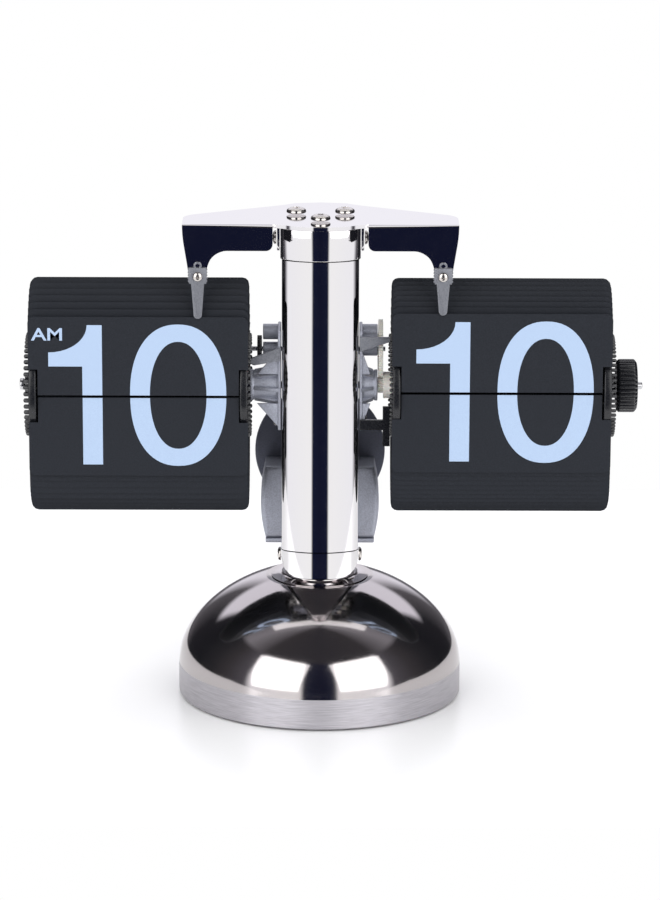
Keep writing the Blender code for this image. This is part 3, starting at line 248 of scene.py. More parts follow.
# moulded nitrile rubber: dull black
foot_rubber, shader = new_material("foot_rubber", "#1B1B1C", 0.0, 0.8)
grain(foot_rubber, shader, 0.6 * MM, depth=0.03 * MM, rough=(0.72, 0.9),
      colours=("#171718", "#222223"))

# printed shrink sleeve: smooth and slightly glossy
cell_wrap, shader = new_material("shrink_wrapped_cell", "#3B6B4A", 0.2, 0.3)
grain(cell_wrap, shader, 2 * MM, rough=(0.25, 0.36), colours=("#376446", "#41734F"))
print("plastics", 8)

# %% [markdown]
# ## Helpers for meshes
# A piece is built as a bmesh in place, then becomes an object at the origin that rides on a
# body. `lathe` turns a profile about an axis; `slab` pushes a flat outline through a
# thickness; `bow` makes an arc of points by spinning one vertex.

# %% Piece and shape helpers
made_pieces = []


def piece(name, shape, finish, body="frame", replaces=(), smooth=40.0, flat=False):
    """Make an object of a bmesh, give it a finish and hang it on a body of the frame."""
    bmesh.ops.remove_doubles(shape, verts=shape.verts[:], dist=1e-7)
    bmesh.ops.recalc_face_normals(shape, faces=shape.faces[:])
    mesh = bpy.data.meshes.new(name)
    shape.to_mesh(mesh)
    shape.free()
    finishes = finish if isinstance(finish, (list, tuple)) else [finish]
    for item in finishes:
        mesh.materials.append(item)
    mesh.shade_smooth()
    mesh.set_sharp_from_angle(angle=math.radians(smooth))
    made = bpy.data.objects.new(name, mesh)
    bpy.context.scene.collection.objects.link(made)
    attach(made, body)
    if replaces:
        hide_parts(*replaces)
    if flat:
        made.modifiers.new("flat faces stay flat", "WEIGHTED_NORMAL").keep_sharp = True
    made_pieces.append(name)
    return made


AXIS_TURN = {"Z": Matrix.Identity(4), "X": Matrix.Rotation(math.radians(90), 4, "Y"),
             "-X": Matrix.Rotation(math.radians(-90), 4, "Y"),
             "Y": Matrix.Rotation(math.radians(-90), 4, "X"),
             "-Y": Matrix.Rotation(math.radians(90), 4, "X")}


def lathe(profile, axis="Z", place=(0, 0, 0), steps=64, shape=None):
    """Turn (radius, height) points about an axis; a closed ring if it stays off the axis."""
    turned = bmesh.new()
    verts = [turned.verts.new((radius, 0, height)) for radius, height in profile]
    edges = [turned.edges.new(pair) for pair in zip(verts, verts[1:])]
    if profile[0][0] > 0:
        edges.append(turned.edges.new((verts[-1], verts[0])))
    bmesh.ops.spin(turned, geom=verts + edges, cent=(0, 0, 0), axis=(0, 0, 1),
                   angle=math.tau, steps=steps, use_merge=True)
    bmesh.ops.remove_doubles(turned, verts=turned.verts[:], dist=1e-7)
    bmesh.ops.transform(turned, matrix=Matrix.Translation(place) @ AXIS_TURN[axis],
                        verts=turned.verts[:])
    return joined(shape, turned) if shape else turned


def joined(shape, extra):
    """Add the faces of one bmesh to another."""
    spare = bpy.data.meshes.new("spare")
    extra.to_mesh(spare)
    extra.free()
    shape.from_mesh(spare)
    bpy.data.meshes.remove(spare)
    return shape


def rounded(profile, corner, steps=3):
    """Round the inner corners of an open (radius, height) profile."""
    done = [profile[0]]
    for before, here, after in zip(profile, profile[1:], profile[2:]):
        here = Vector(here)
        inward, outward = Vector(before) - here, Vector(after) - here
        reach = min(corner, inward.length * 0.45, outward.length * 0.45)
        start = here + inward.normalized() * reach
        end = here + outward.normalized() * reach
        for step in range(steps + 1):
            share = step / steps
            spot = start * (1 - share) ** 2 + here * 2 * share * (1 - share) + end * share ** 2
            done.append(tuple(spot))
    return done + [profile[-1]]


def slab(outline, plane, start, end, edge=0.0, corners=None, segments=2):
    """Push a flat outline through a thickness. `plane` names the direction of the push.

    `corners` maps an outline point's index to its rounding; `edge` bevels both rims.
    """
    spot = {"X": lambda a, b: (start, a, b), "Y": lambda a, b: (a, start, b),
            "Z": lambda a, b: (a, b, start)}[plane]
    push = {"X": (end - start, 0, 0), "Y": (0, end - start, 0), "Z": (0, 0, end - start)}[plane]
    shape = bmesh.new()
    verts = [shape.verts.new(spot(a, b)) for a, b in outline]
    shape.faces.new(verts)
    for index, radius in (corners or {}).items():
        bmesh.ops.bevel(shape, geom=[verts[index]], offset=radius, offset_type="OFFSET",
                        affect="VERTICES", segments=5, profile=0.5, material=-1)
    face = shape.faces[:]
    grown = bmesh.ops.extrude_face_region(shape, geom=face)
    top = [item for item in grown["geom"] if isinstance(item, bmesh.types.BMVert)]
    bmesh.ops.translate(shape, vec=push, verts=top)
    if edge:
        axis = "XYZ".index(plane)
        rims = [line for line in shape.edges
                if abs(line.verts[0].co[axis] - line.verts[1].co[axis]) < 1e-9]
        bmesh.ops.bevel(shape, geom=rims, offset=edge, offset_type="OFFSET", affect="EDGES",
                        segments=segments, profile=0.5, material=-1)
    return shape


def block(low, high, edge=0.3 * MM, segments=3):
    """A box between two corners with all its edges rounded."""
    shape = bmesh.new()
    bmesh.ops.create_cube(shape, size=1.0)
    low, high = Vector(low), Vector(high)
    bmesh.ops.scale(shape, vec=high - low, verts=shape.verts[:])
    bmesh.ops.translate(shape, vec=(low + high) / 2, verts=shape.verts[:])
    bmesh.ops.bevel(shape, geom=shape.edges[:], offset=edge, offset_type="OFFSET",
                    affect="EDGES", segments=segments, profile=0.5, material=-1)
    return shape


def bow(centre, start, angle, steps, shape):
    """Spin one vertex about a vertical line: an arc of edges. Returns its points in order."""
    first = shape.verts.new(start)
    spun = bmesh.ops.spin(shape, geom=[first], cent=centre, axis=(0, 0, 1), angle=angle,
                          steps=steps, use_merge=False)
    line, here, seen = [first], first, set()
    while True:
        ahead = [edge for edge in here.link_edges if edge not in seen]
        if not ahead:
            return line
        seen.add(ahead[0])
        here = ahead[0].other_vert(here)
        line.append(here)


print("helpers ready: piece, lathe, joined, rounded, slab, block, bow")

# %% [markdown]
# ## Base
# The real base is one spun steel shell. Its dome is mirror polished and its rim is a short
# upright band with a brushed finish. A lathe profile makes both, with a finish each: the
# dome follows the CAD shell's full curve, but in many more steps, so reflections run clean.

# %% Domed base
BAND_TOP = 10.7 * MM
DOME_POWER = 1.9
DOME_RISE = 32.2 * MM
NECK_LOW, NECK_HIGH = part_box("neck_collar")
FLAT_RADIUS = 18.0 * MM
WALL = 1.2 * MM
FOOT_EDGE = 0.4 * MM
DOME_STEPS, INSIDE_STEPS, TURN_STEPS = 60, 16, 128


def dome_points(radius, rise, steps):
    """The dome from the band's top in to the neck, on a curve a bit fuller than a cone."""
    last = math.acos((FLAT_RADIUS / radius) ** (DOME_POWER / 2))
    for step in range(steps + 1):
        angle = last * step / steps
        yield (radius * math.cos(angle) ** (2 / DOME_POWER),
               BAND_TOP + rise * math.sin(angle) ** (2 / DOME_POWER))


outer = [(BASE_RADIUS - FOOT_EDGE, BASE_LOW.z), (BASE_RADIUS, BASE_LOW.z + FOOT_EDGE),
         (BASE_RADIUS, BAND_TOP - 0.5 * MM)]
CREASE_LEAN, CREASE_REACH = 0.14, 9 * MM    # the dome starts 8 degrees off upright
for radius, height in dome_points(BASE_RADIUS, DOME_RISE, DOME_STEPS):
    fade = max(0.0, 1 - (height - BAND_TOP) / CREASE_REACH)
    leaned = CREASE_LEAN * (height - BAND_TOP) * fade
    outer.append((BASE_RADIUS - math.hypot(BASE_RADIUS - radius, leaned), height))
top_z = outer[-1][1]
inner = list(dome_points(BASE_RADIUS - WALL, DOME_RISE - WALL, INSIDE_STEPS))
bolt_bore = NECK_HIGH.x * 0.3
profile = outer + [(bolt_bore, top_z), (bolt_bore, top_z - WALL)]
profile += [(FLAT_RADIUS, top_z - WALL)] + inner[::-1][1:]
profile += [(BASE_RADIUS - WALL, BASE_LOW.z)]
shell = lathe(profile, steps=TURN_STEPS)
for face in shell.faces:
    face.material_index = int(face.calc_center_median().z < BAND_TOP)
piece("domed_base", shell, [dome_steel, brushed_steel], replaces=["base_dome"],
      smooth=6.0)
print("base radius %.1f mm, dome top %.1f mm" % (BASE_RADIUS / MM, top_z / MM))

# %% [markdown]
# ## Neck
# A low collar flares from the column's foot out to the dome. Its side is a hollow curve, so
# it is turned from a quarter arc.

# %% Flared neck
NECK_TOP_RADIUS = 12.3 * MM
NECK_BORE = 4 * MM
NECK_SEAT = 0.2 * MM            # the flare's foot sits this far down on the dome
FLARE_STEPS = 10
flare = []
for step in range(FLARE_STEPS + 1):
    angle = math.radians(90 * step / FLARE_STEPS)
    flare.append((NECK_HIGH.x - (NECK_HIGH.x - NECK_TOP_RADIUS) * math.sin(angle),
                  NECK_LOW.z + (NECK_HIGH.z - NECK_LOW.z) * (1 - math.cos(angle))))
neck_profile = [(NECK_BORE, NECK_LOW.z - NECK_SEAT), (NECK_HIGH.x, NECK_LOW.z - NECK_SEAT)]
neck_profile += flare + [(NECK_BORE, NECK_HIGH.z)]
piece("flared_neck", lathe(neck_profile, steps=96), dome_steel, replaces=["neck_collar"],
      smooth=50.0)
print("neck", round((NECK_HIGH.z - NECK_LOW.z) / MM, 2), "mm high")

# %% [markdown]
# ## Column
# Tube and cap share one section: a bowed front, tight corners and a flat back; the foot
# cup's front bows the same way. The front is one vertex spun about a point behind it, then
# the outline is closed and its corners are rounded, so tube and cap only differ in how far
# the outline is grown.

# %% Column section
COLUMN_FRONT = -COLUMN_LOW.y
COLUMN_BACK = COLUMN_HIGH.y
BOW_RADIUS = 22.2 * MM
CORNER = 2.6 * MM
CORNER_SHARE = 0.62       # a vertex bevel reaches this share of the corner's radius
SEAM = 0.3 * MM           # the fine line between cup, tube and cap


def section(grow, height, steps=20):
    """The column's section as one face, grown outwards by `grow`, at a height."""
    shape = bmesh.new()
    radius = BOW_RADIUS + grow
    centre = Vector((0, BOW_RADIUS - COLUMN_FRONT, height))
    half = math.asin((HALF_COLUMN + grow) / radius)
    start = centre + Vector((-math.sin(half), -math.cos(half), 0)) * radius
    front = bow(centre, start, 2 * half, steps, shape)
    back = [shape.verts.new((side * (HALF_COLUMN + grow), COLUMN_BACK + grow, height))
            for side in (1, -1)]
    shape.faces.new(front + back)
    bmesh.ops.bevel(shape, geom=[front[0], front[-1], *back], offset=(CORNER + grow) * CORNER_SHARE,
                    offset_type="OFFSET", affect="VERTICES", segments=6, profile=0.5,
                    material=-1)
    return shape


def section_prism(grow, foot, top, foot_edge=0.0, top_edge=0.0, segments=4):
    """Push the section from foot to top, with its rims rounded where an edge is given."""
    shape = section(grow, foot)
    grown = bmesh.ops.extrude_face_region(shape, geom=shape.faces[:])
    raised = [item for item in grown["geom"] if isinstance(item, bmesh.types.BMVert)]
    bmesh.ops.translate(shape, vec=(0, 0, top - foot), verts=raised)
    for height, width in ((foot, foot_edge), (top, top_edge)):
        if width:
            rim = [line for line in shape.edges
                   if all(abs(end.co.z - height) < 1e-7 for end in line.verts)]
            bmesh.ops.bevel(shape, geom=rim, offset=width, offset_type="OFFSET",
                            affect="EDGES", segments=segments, profile=0.5, material=-1)
    return shape


piece("column_tube_skin", section_prism(0.0, COLUMN_LOW.z, COLUMN_HIGH.z), polished_steel,
      replaces=["column_tube"], smooth=30.0)
CAP_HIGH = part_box("column_cap")[1]
CAP_GROW = CAP_HIGH.x - HALF_COLUMN
piece("column_cap_skin", section_prism(CAP_GROW, COLUMN_HIGH.z + SEAM, CAP_HIGH.z,
                                       0.35 * MM, 1.6 * MM, 6), polished_steel,
      replaces=["column_cap"], smooth=30.0)
print("column", round((CAP_HIGH.z - COLUMN_LOW.z) / MM, 1), "mm")

# %% [markdown]
# ## Foot cup
# The column stands in a cast cup. Seen from the front it is a shallow U with a raised rim
# and a sunk face. The U is a rectangle with two rounded corners pushed through the depth;
# upright cuts let its front bow like the column, and an inset of the front sinks the face.

# %% Foot cup
FOOT_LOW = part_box("column_foot")[0]
CUP_CORNER = 6.5 * MM
CUP_CUTS = 10              # upright cuts from the middle to each side
RIM_WIDE, RIM_SLOPE, FACE_SINK = 1.1 * MM, 0.35 * MM, 0.45 * MM
cup_top = COLUMN_LOW.z - SEAM
cup_half = HALF_COLUMN + 0.15 * MM
cup_outline = [(-cup_half, cup_top), (-cup_half, FOOT_LOW.z), (cup_half, FOOT_LOW.z),
               (cup_half, cup_top)]
cup = slab(cup_outline, "Y", -1 * MM, COLUMN_BACK, corners={1: CUP_CORNER, 2: CUP_CORNER})
for step in range(1 - CUP_CUTS, CUP_CUTS):
    bmesh.ops.bisect_plane(cup, geom=cup.verts[:] + cup.edges[:] + cup.faces[:], dist=1e-7,
                           plane_co=(step / CUP_CUTS * cup_half, 0, 0), plane_no=(1, 0, 0))


def front_y(x):
    """How far forward the bowed front stands at x, easing into the side corners."""
    corner = max(0.0, abs(x) - (HALF_COLUMN - 1.6 * MM)) / (1.75 * MM)
    return (BOW_RADIUS - COLUMN_FRONT - math.sqrt(BOW_RADIUS ** 2 - x * x)
            + 1.3 * MM * (1 - math.sqrt(max(0.0, 1 - min(corner, 1.0) ** 2))))


for vert in cup.verts:
    if vert.co.y < 0:
        vert.co.y = front_y(vert.co.x) - 0.2 * MM
face_front = [face for face in cup.faces if face.normal.y < -0.5 and
              face.calc_center_median().y < -4 * MM]
bmesh.ops.inset_region(cup, faces=face_front, thickness=RIM_WIDE, depth=0.0,
                       use_even_offset=True)
bmesh.ops.inset_region(cup, faces=face_front, thickness=RIM_SLOPE, depth=-FACE_SINK,
                       use_even_offset=True)
piece("foot_cup", cup, polished_steel, replaces=["column_foot"],
      smooth=40.0)
print("cup", round((cup_top - FOOT_LOW.z) / MM, 1), "mm high")

# %% [markdown]
# ## Top bar
# One sheet of polished steel: a flat plate with a bowed lip over the column, and a skirt
# folded down on each side that narrows into a leg. Folding means that plate and skirts
# share an edge, so they are made as flat faces with common points, the fold is bevelled
# round, and Solidify gives the sheet its thickness.

# %% Bent top bar
BAR_HALF = BAR_HIGH.x
BAR_TOP = BAR_HIGH.z
LIP_Y = BAR_LOW.y
FOLD_Y = -16.75 * MM
LIP_HALF = 12.0 * MM
SHEET = 1.2 * MM
leg_low, leg_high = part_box("right_leaf_stop")
LEG_X = (leg_low.x + leg_high.x) / 2
LEG_HALF = 2.45 * MM
SKIRT_INNER = 15.6 * MM
SKIRT_FOOT = BAR_TOP - 8.6 * MM
SKIRT_SHOULDER = BAR_TOP - 3.4 * MM      # where the leg starts to draw in
LEG_ROOT = SKIRT_FOOT - 4.5 * MM
LEG_ROOT_FLARE, SKIRT_FLARE = 0.7 * MM, 3.6 * MM
BAR_BACK = [(BAR_HALF, -0.8 * MM), (12.5 * MM, 17.2 * MM), (8.5 * MM, 20.5 * MM),
            (0, 21.9 * MM)]
FOLD_ROUND = 1.5 * MM
lip_depth = FOLD_Y - LIP_Y
lip_radius = (LIP_HALF ** 2 + lip_depth ** 2) / (2 * lip_depth)
lip_half_angle = math.asin(LIP_HALF / lip_radius)

bar = bmesh.new()
lip = bow(Vector((0, LIP_Y + lip_radius, BAR_TOP)), Vector((-LIP_HALF, FOLD_Y, BAR_TOP)),
          2 * lip_half_angle, 16, bar)
outline = [(SKIRT_INNER, FOLD_Y), (BAR_HALF, FOLD_Y), *BAR_BACK]
right = [bar.verts.new((x, y, BAR_TOP)) for x, y in outline]
left = [bar.verts.new((-x, y, BAR_TOP)) for x, y in outline[:-1]]
bar.faces.new(lip + right + left[::-1])
skirt = [(BAR_HALF, SKIRT_SHOULDER), (LEG_X + LEG_HALF, BAR_LOW.z),
         (LEG_X - LEG_HALF, BAR_LOW.z), (LEG_X - LEG_HALF - LEG_ROOT_FLARE, LEG_ROOT),
         (LEG_X - LEG_HALF - SKIRT_FLARE, SKIRT_FOOT), (SKIRT_INNER, SKIRT_FOOT)]
SKIRT_ROUNDS = ((5, 2.2 * MM), (3, 2.0 * MM), (4, 3.4 * MM))      # skirt point, radius
END_ROUND, SHOULDER_ROUND = 4.0 * MM, 3.0 * MM
to_round = []
for sign, plate in ((1, right), (-1, left)):
    hung = [bar.verts.new((sign * x, FOLD_Y, z)) for x, z in skirt]
    bar.faces.new([plate[0], plate[1], *hung][::sign])
    to_round += [(hung[point], radius) for point, radius in SKIRT_ROUNDS]
    to_round += [(plate[2], END_ROUND), (hung[0], SHOULDER_ROUND)]
to_round += [(right[3], SHOULDER_ROUND), (left[3], SHOULDER_ROUND)]
for vert, radius in to_round:
    bmesh.ops.bevel(bar, geom=[vert], offset=radius, offset_type="OFFSET",
                    affect="VERTICES", segments=6, profile=0.5, material=-1)
bmesh.ops.recalc_face_normals(bar, faces=bar.faces[:])
folds = [edge for edge in bar.edges if len(edge.link_faces) == 2 and
         abs(edge.link_faces[0].normal.dot(edge.link_faces[1].normal)) < 0.5]
bmesh.ops.bevel(bar, geom=folds, offset=FOLD_ROUND, offset_type="OFFSET", affect="EDGES",
                segments=6, profile=0.5, material=-1)
top_bar = piece("bent_top_bar", bar, polished_steel, replaces=["top_bar"],
                smooth=35.0)
thicken = top_bar.modifiers.new("sheet", "SOLIDIFY")
thicken.thickness = SHEET
thicken.offset = -1.0
soften = top_bar.modifiers.new("edge", "BEVEL")
soften.width = 0.22 * MM
soften.segments = 2
soften.limit_method = "ANGLE"
soften.angle_limit = math.radians(50)
top_bar.modifiers.new("flat faces stay flat", "WEIGHTED_NORMAL").keep_sharp = True
print("bar", round(2 * BAR_HALF / MM, 1), "mm wide, folds", len(folds))

# %% [markdown]
# The bar is held to the cap by two tabs with a screw through each. Each is a strip with a
# rounded lower end, just outside the cap.

# %% Cap tabs
TAB_HALF, TAB_THICK, TAB_CORNER = 4.5 * MM, 0.8 * MM, 2.5 * MM
tab_top, tab_foot = BAR_TOP - 1.3 * MM, BAR_TOP - 11.5 * MM
tab_outline = [(-TAB_HALF, tab_top), (-TAB_HALF, tab_foot), (TAB_HALF, tab_foot),
               (TAB_HALF, tab_top)]
tabs = bmesh.new()
for sign in (-1, 1):
    start = CAP_HIGH.x + SEAM
    strip = slab(tab_outline, "X", sign * start, sign * (start + TAB_THICK), edge=0.15 * MM,
                 corners={1: TAB_CORNER, 2: TAB_CORNER})
    joined(tabs, strip)
piece("bar_tabs", tabs, polished_steel, flat=True)
print("tabs", 2)

# %% [markdown]
# ## Screws
# Every screw is a pan head with a cross recess. The head is a turned cap; the recess is cut
# with a Boolean by two crossed wedges, once for each size, and the cutter is thrown away.

# %% Cross-head screws
def cross_head(radius, height):
    """A pan head whose foot is at the origin and whose crown points up +Z."""
    side = 0.3                     # the upright side's share of the height
    crown = [(0, 0), (radius * 0.96, 0), (radius, height * 0.12), (radius, height * side)]
    for step in range(1, 8):
        angle = math.radians(90 * step / 7)
        crown.append((radius * math.cos(angle) ** 0.8,
                      height * (side + (1 - side) * math.sin(angle))))
    crown[-1] = (0, height)
    head = bpy.data.objects.new("head", bpy.data.meshes.new("head"))
    shape = lathe(crown, steps=32)
    bmesh.ops.recalc_face_normals(shape, faces=shape.faces[:])
    shape.to_mesh(head.data)
    shape.free()
    cutter = bpy.data.objects.new("cutter", bpy.data.meshes.new("cutter"))
    cross = bmesh.new()
    arm, thick = radius * 0.58, radius * 0.13
    for long_side, short_side in ((arm, thick), (thick, arm)):
        wedge = bmesh.new()
        bmesh.ops.create_cube(wedge, size=1.0)
        bmesh.ops.scale(wedge, vec=(2 * long_side, 2 * short_side, height * 1.3),
                        verts=wedge.verts[:])
        for vert in wedge.verts:
            if vert.co.z < 0:
                vert.co.x *= 0.5
                vert.co.y *= 0.5
        bmesh.ops.translate(wedge, vec=(0, 0, height * 1.05), verts=wedge.verts[:])
        joined(cross, wedge)
    cross.to_mesh(cutter.data)
    cross.free()
    for item in (head, cutter):
        bpy.context.scene.collection.objects.link(item)
    hole = head.modifiers.new("recess", "BOOLEAN")
    hole.object = cutter
    hole.solver = "EXACT"
    hole.use_self = True
    bpy.context.view_layer.update()
    finished = bpy.data.meshes.new_from_object(
        head.evaluated_get(bpy.context.evaluated_depsgraph_get()))
    for item in (head, cutter):
        bpy.data.objects.remove(item)
    return finished


HEAD_SIZES = {"pan": (3.25 * MM, 1.7 * MM), "side": (2.3 * MM, 1.2 * MM),
              "small": (1.6 * MM, 1.0 * MM)}
heads = {name: cross_head(*size) for name, size in HEAD_SIZES.items()}
SCREWS = {"bar_screw_left": ("pan", "Z", 20), "bar_screw_right": ("pan", "Z", 65),
          "bar_screw_front": ("pan", "Z", 40), "cap_screw_left": ("side", "-X", 10),
          "cap_screw_right": ("side", "X", 30), "column_foot_screw_left": ("side", "-X", 55),
          "column_foot_screw_right": ("side", "X", 5), "left_side_arm_screw": ("side", "-X", 70),
          "right_side_arm_screw": ("side", "X", 25), "rear_cover_screw": ("side", "Y", 15),
          "left_leaf_stop_screw": ("small", "-Y", 20), "right_leaf_stop_screw": ("small", "-Y", 62)}
for node, (size, axis, twist) in SCREWS.items():
    low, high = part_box(node)
    middle = (low + high) / 2
    radius, height = HEAD_SIZES[size]
    letter = "XYZ".index(axis[-1])
    foot = middle.copy()
    foot[letter] = (low[letter] + height) if axis[0] == "-" else (high[letter] - height)
    shape = bmesh.new()
    shape.from_mesh(heads[size])
    place = (Matrix.Translation(foot) @ AXIS_TURN[axis]
             @ Matrix.Rotation(math.radians(twist), 4, "Z"))
    bmesh.ops.transform(shape, matrix=place, verts=shape.verts[:])
    piece(node + "_head", shape, screw_steel, replaces=[node])
print("screws", len(SCREWS))

# %% [markdown]
# ## Leaf stops
# Each unit's standing leaves lean on a flat spring screwed to the bar's leg. It is punched
# from strip: a square plate with nibbled sides that narrows to a rounded tip, which laps
# over the top of the shown leaf.

# %% Leaf stop springs
PLATE_HALF, PLATE_TALL = 2.8 * MM, 5.3 * MM
STRIP_TOP_HALF, STRIP_TIP_HALF = 2.1 * MM, 1.25 * MM
TIP_LAP = 1.0 * MM           # how far the tip laps down over the shown leaf
NIBS, NIB_RADIUS, NIB_STEP = 5, 0.42 * MM, 0.95 * MM
for side in ("left", "right"):
    low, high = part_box(side + "_leaf_stop")
    middle = (low.x + high.x) / 2
    plate_top = high.z
    plate_foot = plate_top - PLATE_TALL
    edge_points = [(PLATE_HALF, plate_top), (PLATE_HALF, plate_foot),
                   (PLATE_HALF - 0.7 * MM, plate_foot),
                   (STRIP_TOP_HALF, plate_foot - 0.5 * MM), (STRIP_TIP_HALF, low.z - TIP_LAP)]
    points = edge_points + [(-x, z) for x, z in reversed(edge_points)]
    tip = {4: 1.2 * MM, 5: 1.2 * MM, 0: 0.5 * MM, 9: 0.5 * MM}
    stop = slab([(middle + x, z) for x, z in points], "Y", low.y, high.y, corners=tip,
                edge=0.08 * MM)
    for edge_sign in (-1, 1):
        for step in range(NIBS):
            spot = (middle + edge_sign * PLATE_HALF, 0,
                    plate_top - 0.6 * MM - step * NIB_STEP)
            lathe([(0, low.y + 0.02 * MM), (NIB_RADIUS, low.y + 0.02 * MM),
                   (NIB_RADIUS, high.y - 0.02 * MM), (0, high.y - 0.02 * MM)], "Y", spot, 12,
                  stop)
    eyelet = lathe(rounded([(0.75 * MM, -0.25 * MM), (1.35 * MM, -0.25 * MM),
                            (1.35 * MM, 0.3 * MM), (0.75 * MM, 0.3 * MM)], 0.2 * MM), "-Y",
                   (middle, high.y, plate_top + 0.55 * MM), 24)
    joined(stop, eyelet)
    piece(side + "_leaf_stop_spring", stop, spring_strip, replaces=[side + "_leaf_stop"])
print("leaf stops", 2)

# %% [markdown]
# ## Axle, discs and knob
# The axle is a steel rod with a turned head on the left and a screwdriver slot on the
# right. Each drum's two black discs have a ring of holes at their rims, and a pin of every
# leaf shows in each hole. The knob is a fluted ring: a turned blank whose rim points are
# pushed in and out by a cosine, as a knurling wheel does.

# %% Axle
AXLE_RADIUS, HEAD_WIDE = 1.2 * MM, 1.4 * MM
SLOT_HALF, SLOT_DEEP = 0.2 * MM, 0.4 * MM
head_radius = (axle_high.z - axle_low.z) / 2
axle_profile = [(0, axle_low.x), (head_radius, axle_low.x),
                (head_radius, axle_low.x + HEAD_WIDE), (AXLE_RADIUS, axle_low.x + HEAD_WIDE),
                (AXLE_RADIUS, axle_high.x), (0, axle_high.x)]
axle = lathe(rounded(axle_profile, 0.35 * MM), "X", (0, 0, AXIS_Z), 40)
for vert in axle.verts:
    if vert.co.x > axle_high.x - 0.1 * MM and abs(vert.co.y) < SLOT_HALF:
        vert.co.x -= SLOT_DEEP
piece("axle_rod", axle, bright_rod, replaces=["main_axle"])
print("axle", round((axle_high.x - axle_low.x) / MM, 1), "mm")

# %% [markdown]
# Core and outer disc are one moulding, so one profile is turned for both; the inner disc is
# a plain ring. The pins are small turned pegs, set round the pin circle by a loop: 48 for
# the hours and 60 for the minutes, at both ends.

# %% Drum discs, cores and pins
PIN_CIRCLE = 16.5 * MM
DRUM_BORE, CORE_RADIUS, HUB_RADIUS = 1.5 * MM, 8 * MM, 3.4 * MM
DISC_WIDE, DISH = 2.5 * MM, 0.8 * MM
PIN_OUT, PIN_IN = 1.7 * MM, 1.2 * MM         # how far the pins stand out at each end
UNITS = {"hour": (-1, 48), "minute": (1, 60)}
for unit, (sign, count) in UNITS.items():
    low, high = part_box(unit + "_drum")
    inner_low, inner_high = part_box(unit + "_inner_disc")
    near = min(abs(inner_low.x), abs(inner_high.x))
    far = max(abs(low.x), abs(high.x))
    disc_radius = high.z - AXIS_Z
    leaf_low, leaf_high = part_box(unit + "_leaf_falling")
    leaf_far = max(abs(leaf_low.x), abs(leaf_high.x))
    body = [(DRUM_BORE, near + DISC_WIDE), (CORE_RADIUS, near + DISC_WIDE),
            (CORE_RADIUS, leaf_far - DISC_WIDE), (disc_radius, leaf_far - DISC_WIDE),
            (disc_radius, leaf_far), (11 * MM, leaf_far), (10 * MM, leaf_far - DISH),
            (5 * MM, leaf_far - DISH), (HUB_RADIUS, leaf_far), (HUB_RADIUS, far),
            (DRUM_BORE, far)]
    spun = lathe([(radius, sign * x) for radius, x in rounded(body, 0.4 * MM)], "X",
                 (0, 0, AXIS_Z), 72)
    piece(unit + "_drum_core", spun, gloss_black, unit + "_drum", [unit + "_drum"])
    ring = [(DRUM_BORE, near), (disc_radius, near), (disc_radius, near + DISC_WIDE),
            (DRUM_BORE, near + DISC_WIDE)]
    spun = lathe([(radius, sign * x) for radius, x in rounded(ring, 0.4 * MM)], "X",
                 (0, 0, AXIS_Z), 72)
    piece(unit + "_drum_inner_disc", spun, gloss_black, unit + "_drum",
          [unit + "_inner_disc"])
    pins = bmesh.new()
    pin_radius = 0.36 * math.tau * PIN_CIRCLE / count
    for number in range(count):
        angle = math.tau * (number + 0.22) / count
        spot = (0, -PIN_CIRCLE * math.cos(angle), AXIS_Z + PIN_CIRCLE * math.sin(angle))
        for start, end in ((leaf_far - 0.3 * MM, leaf_far + PIN_OUT),
                           (near + 0.3 * MM, near - PIN_IN)):
            way = math.copysign(1.0, end - start)
            lathe([(0, sign * start), (pin_radius, sign * start),
                   (pin_radius, sign * (end - way * 0.6 * MM)),
                   (pin_radius * 0.8, sign * (end - way * 0.2 * MM)), (0, sign * end)], "X",
                  spot, 8, pins)
    piece(unit + "_leaf_pins", pins, gloss_black, unit + "_drum")
print("pins", sum(count for sign, count in UNITS.values()) * 2)

# %% [markdown]
# The knob is turned in six steps for each flute, and then every rim point is drawn in by a
# rounded wave that repeats 36 times, so the flutes are narrow and the lands between them
# stay broad.

# %% Setting knob
knob_low, knob_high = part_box("setting_knob")
KNOB_RADIUS = knob_high.z - AXIS_Z
FLUTES, FLUTE_DEPTH = 36, 0.5 * MM
KNOB_EDGE, WELL_RADIUS = 0.9 * MM, 4.2 * MM
knob_profile = [(DRUM_BORE, knob_low.x), (KNOB_RADIUS - KNOB_EDGE, knob_low.x),
                (KNOB_RADIUS, knob_low.x + 0.8 * MM), (KNOB_RADIUS, knob_high.x - KNOB_EDGE),
                (KNOB_RADIUS - 1.1 * MM, knob_high.x), (WELL_RADIUS, knob_high.x),
                (WELL_RADIUS - 0.4 * MM, knob_high.x - KNOB_EDGE),
                (DRUM_BORE, knob_high.x - KNOB_EDGE)]
knob = lathe(rounded(knob_profile, 0.35 * MM), "X", (0, 0, AXIS_Z), FLUTES * 6)
for vert in knob.verts:
    arm = Vector((0, vert.co.y, vert.co.z - AXIS_Z))
    if arm.length > KNOB_RADIUS * 0.86:
        wave = 0.5 - 0.5 * math.cos(FLUTES * math.atan2(arm.z, arm.y))
        vert.co -= arm.normalized() * FLUTE_DEPTH * wave ** 2
piece("fluted_setting_knob", knob, gloss_black, "minute_drum", ["setting_knob"],
      smooth=50.0)
print("knob", round(2 * KNOB_RADIUS / MM, 1), "mm across")

# %% [markdown]
# ## Number leaves
# A unit holds 48 hour or 60 minute leaves. Each is a thin plate with two rounded outer
# corners and a notch at each inner corner, where the drum's disc passes. One leaf is made
# and set round the drum as the real ones lie: a few stand behind the shown leaf, most lie
# over the back of the drum, and the rest hang from their pins below it. A copy has only a
# few dozen faces.

